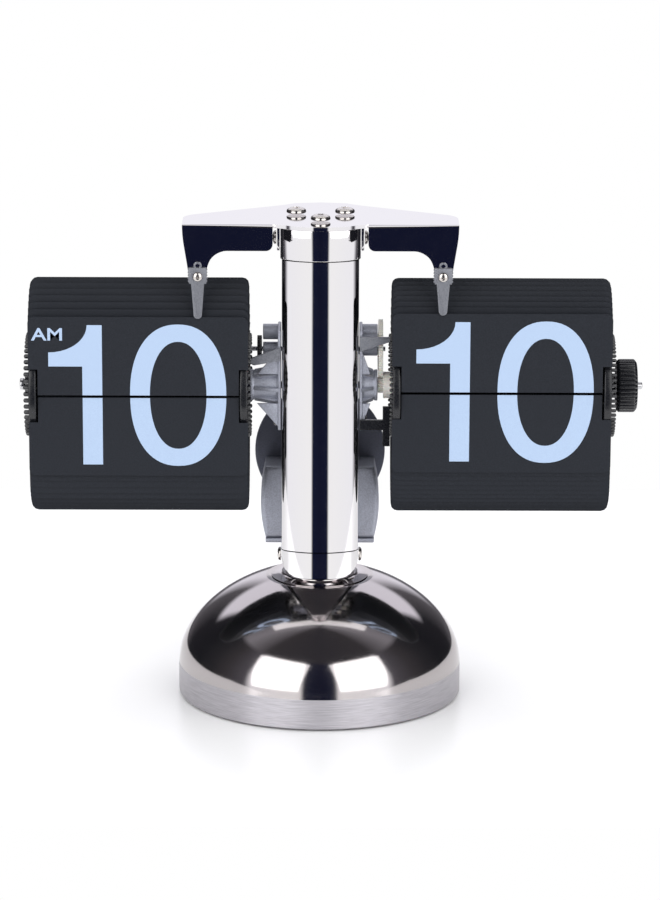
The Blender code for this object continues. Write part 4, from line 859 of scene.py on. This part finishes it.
# %% Leaf shape
REACH = 26.1 * MM
HEEL = 0.3 * MM
THICK = 0.4 * MM
NOTCH_WIDE = 3.1 * MM
NOTCH_TALL = 8.4 * MM
STACK_THICK = 0.36 * MM
HANG_SPACE = STACK_THICK + 0.05 * MM        # hanging leaves lie this close
HANG_START, HANG_SWEEP = 3.5, 177.0         # degrees round the drum below the shown leaf
STANDING = 5                                # leaves that stand behind the shown one


def leaf_shape(near_x, far_x, heel, reach, notch, thickness, rounding=2.2 * MM, segments=3):
    """A leaf standing on z = 0 with its pins there, its front face at y = 0."""
    outline = [(near_x, reach), (near_x, notch), (near_x + NOTCH_WIDE, notch),
               (near_x + NOTCH_WIDE, -heel), (far_x - NOTCH_WIDE, -heel),
               (far_x - NOTCH_WIDE, notch), (far_x, notch), (far_x, reach)]
    shape = bmesh.new()
    verts = [shape.verts.new((x, 0, z)) for x, z in outline]
    shape.faces.new(verts)
    for vert in (verts[0], verts[-1]):
        bmesh.ops.bevel(shape, geom=[vert], offset=rounding, offset_type="OFFSET",
                        affect="VERTICES", segments=segments, profile=0.5, material=-1)
    grown = bmesh.ops.extrude_face_region(shape, geom=shape.faces[:])
    pushed = [item for item in grown["geom"] if isinstance(item, bmesh.types.BMVert)]
    bmesh.ops.translate(shape, vec=(0, thickness, 0), verts=pushed)
    return shape


def pin_spot(angle):
    return Vector((0, -PIN_CIRCLE * math.cos(math.radians(angle)),
                   AXIS_Z + PIN_CIRCLE * math.sin(math.radians(angle))))


def lean(angle):
    """How far back a leaf leans: little at the front, along the drum behind."""
    if angle < 35:
        return 0.4 * angle
    share = min((angle - 35) / 50, 1.0)
    blend = share * share * (3 - 2 * share)
    return min(angle * (0.4 + 0.6 * blend), 180.0)


for unit, (sign, count) in UNITS.items():
    up_low, up_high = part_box(unit + "_leaf_falling")
    down_low, down_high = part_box(unit + "_leaf_fallen")
    near_x, far_x = sorted((up_low.x, up_high.x))
    pivot = up_low.z + HEEL
    pitch = 360.0 / count
    first = math.degrees(math.asin((pivot - AXIS_Z) / PIN_CIRCLE))
    groups = {"standing": [], "over": [], "hanging": []}
    angle = first + pitch
    while angle < 180:
        name = "standing" if angle < first + (STANDING + 0.5) * pitch else "over"
        groups[name].append((pin_spot(angle), -lean(angle), 1))
        angle += pitch
    hung_y = down_low.y + THICK
    hang_count = count - 2 - sum(len(items) for items in groups.values())
    for number in range(hang_count):
        spot = pin_spot(-HANG_START - HANG_SWEEP * number / (hang_count - 1))
        hung_y = max(hung_y + HANG_SPACE, spot.y)
        back_limit = PIN_CIRCLE - (hang_count - 1 - number) * HANG_SPACE
        groups["hanging"].append((Vector((0, min(hung_y, back_limit), spot.z)), 0.0, -1))
    for name, places in groups.items():
        stack = bmesh.new()
        for spot, tilt, way in places:
            copy = leaf_shape(near_x, far_x, HEEL, REACH, NOTCH_TALL, STACK_THICK)
            place = (Matrix.Translation(spot) @ Matrix.Rotation(math.radians(tilt), 4, "X")
                     @ Matrix.Diagonal((1, 1, way, 1)))
            bmesh.ops.transform(copy, matrix=place, verts=copy.verts[:])
            joined(stack, copy)
        piece(unit + "_leaf_stack_" + name, stack, leaf_sheet,
              replaces=["%s_leaves_%s" % (unit, name)], smooth=30.0)
    shown = leaf_shape(near_x, far_x, HEEL, REACH, NOTCH_TALL, THICK, segments=6)
    bmesh.ops.translate(shown, vec=(0, up_low.y, pivot), verts=shown.verts[:])
    piece(unit + "_leaf_shown_upper", shown, leaf_sheet, unit + "_leaf",
          [unit + "_leaf_falling"], smooth=30.0)
    shown = leaf_shape(near_x, far_x, 0, down_high.z - down_low.z, NOTCH_TALL, THICK, segments=6)
    bmesh.ops.transform(shown, matrix=Matrix.Translation((0, down_low.y, down_high.z))
                        @ Matrix.Diagonal((1, 1, -1, 1)), verts=shown.verts[:])
    piece(unit + "_leaf_shown_lower", shown, leaf_sheet, replaces=[unit + "_leaf_fallen"],
          smooth=30.0)
    print(unit, "leaves", {name: len(items) for name, items in groups.items()})

# %% [markdown]
# ## Printed numerals
# The numerals are ink, so each is a very thin raised shape. A "1" is a stem with a curved
# flag, and a "0" is a tall rounded ring. A numeral is built whole, cut at the split line
# with a plane, and each half is laid on its own leaf. The leaf that waits behind carries
# the next numeral, and the shown leaf's back carries that numeral's lower half, so a flip
# shows the right number.

# %% Numeral shapes
DIGIT_TALL = 47.2 * MM
STROKE, ZERO_STROKE = 6.5 * MM, 5.8 * MM       # across upright and level strokes
ZERO_WIDE = 31.6 * MM
ONE_TOP, FLAG_WIDE = 4.9 * MM, 17.6 * MM
FLAG_TOP, FLAG_FOOT = 9.2 * MM, 13.9 * MM      # below the numeral's top
INK = 0.04 * MM


def numeral_one(right_x, top_z, bottom_z):
    """A 1 with its stem's right side at right_x."""
    stem_left = right_x - STROKE
    flag_left = right_x - FLAG_WIDE
    points = [(right_x, bottom_z), (right_x, top_z), (right_x - ONE_TOP, top_z)]
    for step in range(1, 11):
        turned = step / 10 * math.pi / 2
        points.append((flag_left + (FLAG_WIDE - ONE_TOP) * math.cos(turned),
                       top_z - FLAG_TOP * math.sin(turned)))
    points += [(flag_left, top_z - FLAG_FOOT), (stem_left, top_z - FLAG_FOOT),
               (stem_left, bottom_z)]
    shape = bmesh.new()
    shape.faces.new([shape.verts.new((x, 0, z)) for x, z in points])
    return shape


def numeral_zero(middle_x, top_z, bottom_z, segments=72):
    """A 0 as the ring between two rounded ovals, made by bridging two circles."""
    shape = bmesh.new()
    loops = []
    middle_z = (top_z + bottom_z) / 2
    for half_x, half_z, power in (
            (ZERO_WIDE / 2, (top_z - bottom_z) / 2, 2.25),
            (ZERO_WIDE / 2 - STROKE, (top_z - bottom_z) / 2 - ZERO_STROKE, 2.15)):
        made = bmesh.ops.create_circle(shape, segments=segments, radius=1.0)["verts"]
        for vert in made:
            across, up = vert.co.x, vert.co.y
            vert.co = (middle_x + half_x * math.copysign(abs(across) ** (2 / power), across), 0,
                       middle_z + half_z * math.copysign(abs(up) ** (2 / power), up))
        loops += [edge for edge in shape.edges if edge.verts[0] in made]
    bmesh.ops.bridge_loops(shape, edges=loops)
    return shape


def lay_ink(name, shapes, cut_z, keep_top, front_y, body, flip_pivot=None):
    """Cut numerals at a height, thicken them and lay them on a leaf's front or back."""
    ink = bmesh.new()
    for shape in shapes:
        joined(ink, shape)
    bmesh.ops.bisect_plane(ink, geom=ink.verts[:] + ink.edges[:] + ink.faces[:], dist=1e-7,
                           plane_co=(0, 0, cut_z), plane_no=(0, 0, 1),
                           clear_inner=keep_top, clear_outer=not keep_top)
    bmesh.ops.triangulate(ink, faces=[face for face in ink.faces if len(face.verts) > 4])
    grown = bmesh.ops.extrude_face_region(ink, geom=ink.faces[:])
    pushed = [item for item in grown["geom"] if isinstance(item, bmesh.types.BMVert)]
    bmesh.ops.translate(ink, vec=(0, -INK, 0), verts=pushed)
    bmesh.ops.translate(ink, vec=(0, front_y, 0), verts=ink.verts[:])
    if flip_pivot:
        turn_over = (Matrix.Translation(flip_pivot) @ Matrix.Rotation(math.pi, 4, "X")
                     @ Matrix.Translation(-flip_pivot))
        bmesh.ops.transform(ink, matrix=turn_over, verts=ink.verts[:])
    return piece(name, ink, number_ink, body)


print("numeral height", DIGIT_TALL / MM, "mm")

# %% [markdown]
# The hour leaf also has a small AM. Text starts as a font curve, becomes a flat mesh, and
# is stretched to its printed width and height, because the real letters are wide and bold.

# %% Numerals on their leaves
AM_WIDE, AM_TALL = 10.2 * MM, 4.2 * MM
AM_INSET, AM_DROP = 1.1 * MM, 5.2 * MM      # from the leaf's side and the numerals' top
TOP_MARGIN = 2.75 * MM                      # bare leaf above the numerals
INK_MARGIN = 0.05 * MM                      # and along the split
SECOND_ONE = 6.0 * MM                       # an 11's second stem, from where a 0 is centred
DIGITS = {"hour": (-71.5 * MM, -46.6 * MM), "minute": (49.1 * MM, 74.0 * MM)}


def small_word(text, left_x, foot_z, wide, tall):
    """A short word as a flat mesh, made bold by growing its outline."""
    curve = bpy.data.curves.new("word", "FONT")
    curve.body = text
    curve.size = tall / 0.73
    curve.offset = tall * 0.02
    holder = bpy.data.objects.new("word", curve)
    bpy.context.scene.collection.objects.link(holder)
    bpy.context.view_layer.update()
    flat = bpy.data.meshes.new_from_object(
        holder.evaluated_get(bpy.context.evaluated_depsgraph_get()))
    shape = bmesh.new()
    shape.from_mesh(flat)
    bpy.data.objects.remove(holder)
    bpy.data.meshes.remove(flat)
    bmesh.ops.remove_doubles(shape, verts=shape.verts[:], dist=1e-6)
    across = [vert.co.x for vert in shape.verts]
    upward = [vert.co.y for vert in shape.verts]
    for vert in shape.verts:
        vert.co = (left_x + (vert.co.x - min(across)) / (max(across) - min(across)) * wide, 0,
                   foot_z + (vert.co.y - min(upward)) / (max(upward) - min(upward)) * tall)
    return shape


def numerals(unit, following, top_z):
    """A unit's two numerals: 10, or the 11 that comes next on the minute side."""
    one_right, zero_middle = DIGITS[unit]
    foot_z = top_z - DIGIT_TALL
    first = numeral_one(one_right, top_z, foot_z)
    if following and unit == "minute":
        return [first, numeral_one(zero_middle + SECOND_ONE, top_z, foot_z)]
    return [first, numeral_zero(zero_middle, top_z + 0.3 * MM, foot_z - 0.4 * MM)]


for unit in DIGITS:
    up_low, up_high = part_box(unit + "_leaf_falling")
    down_low, down_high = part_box(unit + "_leaf_fallen")
    pivot = Vector((0, (up_low.y + up_high.y) / 2, up_low.z + HEEL))
    top_z = up_high.z - TOP_MARGIN
    upper_cut, lower_cut = up_low.z + INK_MARGIN, down_high.z - INK_MARGIN
    upper = numerals(unit, False, top_z)
    if unit == "hour":
        upper.append(small_word("AM", up_low.x + AM_INSET, top_z - AM_DROP, AM_WIDE, AM_TALL))
    lay_ink(unit + "_ink_shown_upper", upper, upper_cut, True, up_low.y, unit + "_leaf")
    lay_ink(unit + "_ink_shown_lower", numerals(unit, False, top_z), lower_cut, False,
            down_low.y, "frame")
    lay_ink(unit + "_ink_back", numerals(unit, True, top_z), lower_cut, False,
            2 * pivot.y - up_high.y, unit + "_leaf", flip_pivot=pivot)
    print(unit, "numerals from %.1f to %.1f mm" % ((top_z - DIGIT_TALL) / MM, top_z / MM))

# %% [markdown]
# ## Side arms
# A die-cast style arm stands on each side of the column: a thin flange, a tapered boss that
# carries the axle, ribs and gussets that stiffen it, and two round stubs above.

# %% Side arms
FLANGE, FLANGE_SEAT = 1.0 * MM, 0.7 * MM       # the boss and ribs start inside the flange
BOSS_BORE, BOSS_ROOT, BOSS_TIP = 1.6 * MM, 5.8 * MM, 5.2 * MM
RIBS, RIB_HALF = 8, 0.55 * MM
RIB_OUT, WIDE_RIB_OUT, RIB_TIP, RIB_IN = 6.9 * MM, 8.6 * MM, 5.3 * MM, 3 * MM
GUSSET_NEAR, GUSSET_FAR = 5.0 * MM, 13.2 * MM  # heights above and below the axle
GUSSET_FRONT, GUSSET_BACK = -6.2 * MM, -5.2 * MM
STUB_BORE, STUB_END = 0.9 * MM, 19.0 * MM
for side, sign in (("left", -1), ("right", 1)):
    low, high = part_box(side + "_side_arm")
    face = min(abs(low.x), abs(high.x))
    boss_end = max(abs(low.x), abs(high.x))
    flange_sides = sorted((sign * face, sign * (face + FLANGE)))
    arm = block((flange_sides[0], low.y, low.z), (flange_sides[1], high.y, high.z), 0.35 * MM)
    root = face + FLANGE_SEAT
    boss = [(BOSS_BORE, root), (BOSS_ROOT, root), (BOSS_ROOT - 0.5 * MM, root + 1.0 * MM),
            (BOSS_TIP - 0.3 * MM, boss_end - 1.2 * MM), (BOSS_TIP, boss_end - 0.9 * MM),
            (BOSS_TIP, boss_end), (BOSS_BORE, boss_end)]
    lathe([(radius, sign * x) for radius, x in rounded(boss, 0.3 * MM)], "X",
          (0, 0, AXIS_Z), 48, arm)
    rib_end = sign * (boss_end - 1.4 * MM)
    for rib in range(RIBS):
        outline = [(sign * root, WIDE_RIB_OUT if rib % 4 == 2 else RIB_OUT),
                   (rib_end, RIB_TIP), (rib_end, RIB_IN), (sign * root, RIB_IN)]
        web = slab(outline, "Y", -RIB_HALF, RIB_HALF, edge=0.12 * MM)
        place = (Matrix.Translation((0, 0, AXIS_Z))
                 @ Matrix.Rotation(math.tau * rib / RIBS, 4, "X"))
        bmesh.ops.transform(web, matrix=place, verts=web.verts[:])
        joined(arm, web)
    for lift in (-1, 1):
        outline = [(sign * root, AXIS_Z + lift * GUSSET_NEAR),
                   (sign * (boss_end - 2.4 * MM), AXIS_Z + lift * GUSSET_NEAR),
                   (sign * root, AXIS_Z + lift * GUSSET_FAR)]
        joined(arm, slab(outline, "Y", GUSSET_FRONT, GUSSET_BACK, edge=0.15 * MM))
    transfer_low, transfer_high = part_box("transfer_wheel")
    spot_y = (transfer_low.y + transfer_high.y) / 2
    for radius, z in ((2.3 * MM, (transfer_low.z + transfer_high.z) / 2),
                      (2.6 * MM, AXIS_Z + 17.3 * MM)):
        stub = [(STUB_BORE, root), (radius, root), (radius, STUB_END), (STUB_BORE, STUB_END)]
        lathe([(part, sign * x) for part, x in rounded(stub, 0.3 * MM)], "X",
              (0, spot_y, z), 32, arm)
    piece(side + "_side_arm_casting", arm, silver_plastic, replaces=[side + "_side_arm"])
print("arms", 2)

# %% [markdown]
# ## Movement and battery cases
# Behind the column sit the movement case, the barrel-shaped battery case with its sliding
# door, and a round grey cover. Their corners are moulded round, so each takes the CAD's
# size with bevelled edges, and the visible backs get the ribs and lips that such mouldings
# have.

# %% Movement case
CASE_ROUND = 1.4 * MM
GRIP_RIBS, GRIP_STEP, GRIP_TALL, GRIP_INSET = 5, 2.4 * MM, 0.9 * MM, 4 * MM
low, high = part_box("movement_case")
case = block(low, high, CASE_ROUND, 4)
for step in range(GRIP_RIBS):
    z = high.z - 6 * MM - step * GRIP_STEP
    joined(case, block((low.x + GRIP_INSET, high.y - 0.4 * MM, z),
                       (high.x - GRIP_INSET, high.y + 0.2 * MM, z + GRIP_TALL), 0.2 * MM, 2))
piece("movement_case_shell", case, silver_plastic, replaces=["movement_case"])
print("movement case with", GRIP_RIBS, "grip ribs")

# %% [markdown]
# The battery case bulges at mid height like a barrel, so its sides are one curve each. The
# door under it slides, and has low ribs for a thumb. The cover is turned: a disc with a
# raised lip.

# %% Battery case, door and cover
BARREL_BULGE, BARREL_STEPS, BARREL_ROUND = 1.6 * MM, 12, 1.5 * MM
low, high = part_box("battery_case")
barrel_points = []
for step in range(BARREL_STEPS + 1):
    share = step / BARREL_STEPS * 2 - 1
    barrel_points.append((high.x - BARREL_BULGE * share * share,
                          low.z + (high.z - low.z) * step / BARREL_STEPS))
outline = barrel_points + [(-x, z) for x, z in reversed(barrel_points)]
battery = slab(outline, "Y", low.y, high.y, edge=BARREL_ROUND, segments=4)
piece("battery_case_shell", battery, silver_plastic, replaces=["battery_case"],
      smooth=45.0)

low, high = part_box("battery_door")
door = block(low, high, 0.4 * MM)
THUMB_RIBS, THUMB_STEP, THUMB_HALF, THUMB_INSET = 5, 2.0 * MM, 0.4 * MM, 3 * MM
for step in range(THUMB_RIBS):
    x = (step - (THUMB_RIBS - 1) / 2) * THUMB_STEP
    joined(door, block((x - THUMB_HALF, low.y + THUMB_INSET, low.z - 0.25 * MM),
                       (x + THUMB_HALF, high.y - THUMB_INSET, low.z + 0.3 * MM), 0.15 * MM,
                       2))
piece("battery_door_panel", door, silver_plastic, "battery_door", ["battery_door"])

low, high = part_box("rear_cover")
radius = (high.x - low.x) / 2
middle_z = (low.z + high.z) / 2
LIP_EDGE, LIP_WIDE, LIP_DEEP = 0.6 * MM, 3 * MM, 0.5 * MM
cover_profile = [(0, low.y), (radius, low.y), (radius, high.y - LIP_EDGE),
                 (radius - LIP_EDGE, high.y), (radius - LIP_WIDE, high.y),
                 (radius - LIP_WIDE - LIP_EDGE, high.y - LIP_DEEP), (0, high.y - LIP_DEEP)]
piece("round_rear_cover", lathe(rounded(cover_profile, 0.3 * MM), "Y", (0, 0, middle_z), 96),
      grey_plastic, replaces=["rear_cover"])
print("battery case, door and cover made")

# %% [markdown]
# ## Small parts kept from the CAD model
# Gears, levers and the inner parts already have their true shape. A gear keeps its CAD
# solid and takes a finish. Levers, guard and collar get soft edges: a merged copy of the
# solid, its flat faces joined up again, with a small bevel.

# %% Finishes for carried-over nodes
KEPT = {"hour_gear": white_acetal, "minute_pinion": white_acetal,
        "transfer_wheel": white_acetal, "motor_wheel": white_acetal,
        "transfer_arbor": bright_rod, "motor_body": bright_rod, "base_plate": brushed_steel,
        "base_bolt": screw_steel, "base_nut": screw_steel, "base_weight": grey_iron,
        "battery_cell": cell_wrap, "positive_contact": spring_brass,
        "negative_contact": spring_brass, "base_foot_pad": foot_rubber}
for node, finish in KEPT.items():
    for material_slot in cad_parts[node].material_slots:
        material_slot.material = finish
SOFT_EDGE = 0.15 * MM
SOFTENED = {"left_lever": spring_strip, "right_lever": spring_strip,
            "right_guard": gloss_black, "transfer_collar": gloss_black}
for node, finish in SOFTENED.items():
    copy = bmesh.new()
    copy.from_mesh(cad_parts[node].data)
    bmesh.ops.remove_doubles(copy, verts=copy.verts[:], dist=1e-6)
    bmesh.ops.dissolve_limit(copy, angle_limit=math.radians(1), verts=copy.verts[:],
                             edges=copy.edges[:])
    body = "transfer_shaft" if node == "transfer_collar" else "frame"
    soft = piece(node + "_finished", copy, finish, body, [node])
    edge = soft.modifiers.new("edge", "BEVEL")
    edge.width = SOFT_EDGE
    edge.segments = 2
    edge.limit_method = "ANGLE"
print("kept", len(KEPT), "softened", len(SOFTENED))

# %% [markdown]
# ## Floor and light
# A small white floor lies under the clock and takes its shadow; past its edges the world's
# white shows. Two tall soft boxes stand left and right of the camera with a dark gap
# between them, which gives polished metal its bright sides and dark middle, and a wide soft
# light hangs overhead and behind.

# %% Floor
FLOOR_FRONT, FLOOR_BACK = -0.14, 0.26
floor_shape = bmesh.new()
bmesh.ops.create_grid(floor_shape, x_segments=1, y_segments=1, size=1.0)
bmesh.ops.scale(floor_shape, vec=(0.5, (FLOOR_BACK - FLOOR_FRONT) / 2, 1.0),
                verts=floor_shape.verts[:])
bmesh.ops.translate(floor_shape, vec=(0, (FLOOR_BACK + FLOOR_FRONT) / 2, -0.0001),
                    verts=floor_shape.verts[:])
floor_mesh = bpy.data.meshes.new("floor")
floor_shape.to_mesh(floor_mesh)
floor_shape.free()
floor = bpy.data.objects.new("floor", floor_mesh)
bpy.context.scene.collection.objects.link(floor)
floor_paint, shader = new_material("white_studio_floor", "#FFFFFF", 0.0, 0.3)
grain(floor_paint, shader, 60 * MM, rough=(0.28, 0.32))
floor_mesh.materials.append(floor_paint)
print("floor", round(FLOOR_BACK - FLOOR_FRONT, 2), "m deep")

# %% [markdown]
# An area light's brightness as a mirror sees it is its power over its size, so large soft
# boxes need little power. Each is aimed at the foot of the clock.

# %% Studio lights
LIGHTS = {
    "left_softbox": ((-0.71, -0.98, 0.52), (0, 0, 0.05), (1.0, 1.16), 4.6),
    "right_softbox": ((0.71, -0.98, 0.52), (0, 0, 0.05), (1.0, 1.16), 4.6),
    "overhead": ((0, 0.5, 1.6), (0, 0.0, 0.1), (1.6, 1.0), 5.0),
}
for name, (place, target, size, power) in LIGHTS.items():
    lamp = bpy.data.lights.new(name, "AREA")
    lamp.shape = "RECTANGLE"
    lamp.size, lamp.size_y = size
    lamp.energy = power
    holder = bpy.data.objects.new(name, lamp)
    holder.location = place
    aim = Vector(target) - Vector(place)
    holder.rotation_euler = aim.to_track_quat("-Z", "Y").to_euler()
    bpy.context.scene.collection.objects.link(holder)
print("lights", len(LIGHTS))

# %% [markdown]
# Polished steel shows the whole room, so the room is painted in the world by direction: the
# soft boxes again (they reach below the horizon, as a lit table does), the dark gap with
# the camera in it, dim side walls and pale panels behind. Only glossy rays see this room.
# Camera rays see plain white, and all other rays an even white light.

# %% Room seen by polished metal
FRONT = [(0, "#12152A"), (12.5, "#161A30"), (15.5, "#FFFFFF"), (58, "#FBFBFF"),
         (63, "#55535A"), (84, "#3C3A3D"), (100, "#2A2A2E"), (118, "#1C1D22")]
BANDS = [   # from this elevation up, the room's colours from the front round to the back
    (None, FRONT + [(140, "#232328"), (152, "#5D5B60"), (180, "#6A686E")]),
    (2, FRONT + [(140, "#232328"), (160, "#5D5B60"), (168, "#F1F0FA"), (180, "#F7F6FD")]),
    (26, FRONT + [(134, "#232328"), (140, "#F1F0FA"), (176, "#F1F0FA"), (180, "#C9C7D2")]),
    (46, [(0, "#343338"), (60, "#3B393C"), (92, "#8C8A90"), (106, "#77767C"),
          (120, "#26272C"), (180, "#57555C")]),
]
world = bpy.data.worlds.new("studio")
bpy.context.scene.world = world
world.use_nodes = True
direction = add(world, "ShaderNodeTexCoord").outputs["Generated"]
parts = add(world, "ShaderNodeSeparateXYZ", {"Vector": direction}).outputs
front = add(world, "ShaderNodeMath", {0: parts["Y"], 1: -1.0}, operation="MULTIPLY")
around = add(world, "ShaderNodeMath", {0: parts["X"], 1: front.outputs[0]},
             operation="ARCTAN2")
away = add(world, "ShaderNodeMath", {0: around.outputs[0]}, operation="ABSOLUTE")
share = add(world, "ShaderNodeMath", {0: away.outputs[0], 1: math.pi}, operation="DIVIDE")
room = None
for elevation, stops in BANDS:
    ramp = add(world, "ShaderNodeValToRGB", {"Fac": share.outputs[0]})
    line = ramp.color_ramp
    while len(line.elements) < len(stops):
        line.elements.new(1.0)
    for element, (degrees, colour) in zip(line.elements, stops):
        element.position = degrees / 180
        element.color = linear(colour)
    if room:
        above = add(world, "ShaderNodeMapRange",
                    {"Value": parts["Z"], "From Min": math.sin(math.radians(elevation - 2)),
                     "From Max": math.sin(math.radians(elevation + 2))})
        room = add(world, "ShaderNodeMixRGB", {"Fac": above.outputs["Result"], "Color1": room,
                                               "Color2": ramp.outputs["Color"]}).outputs["Color"]
    else:
        room = ramp.outputs["Color"]
mirror = add(world, "ShaderNodeBackground", {"Color": room, "Strength": 1.1})
plain = add(world, "ShaderNodeBackground", {"Color": (1, 1, 1, 1), "Strength": 1.0})
even = add(world, "ShaderNodeBackground", {"Color": linear("#FDFDFF"), "Strength": 1.0})
path = add(world, "ShaderNodeLightPath").outputs
first = add(world, "ShaderNodeMixShader", {"Fac": path["Is Glossy Ray"]})
last = add(world, "ShaderNodeMixShader", {"Fac": path["Is Camera Ray"]})
link = world.node_tree.links.new
link(even.outputs[0], first.inputs[1])
link(mirror.outputs[0], first.inputs[2])
link(first.outputs[0], last.inputs[1])
link(plain.outputs[0], last.inputs[2])
link(last.outputs[0], world.node_tree.nodes["World Output"].inputs["Surface"])
print("room bands", len(BANDS))
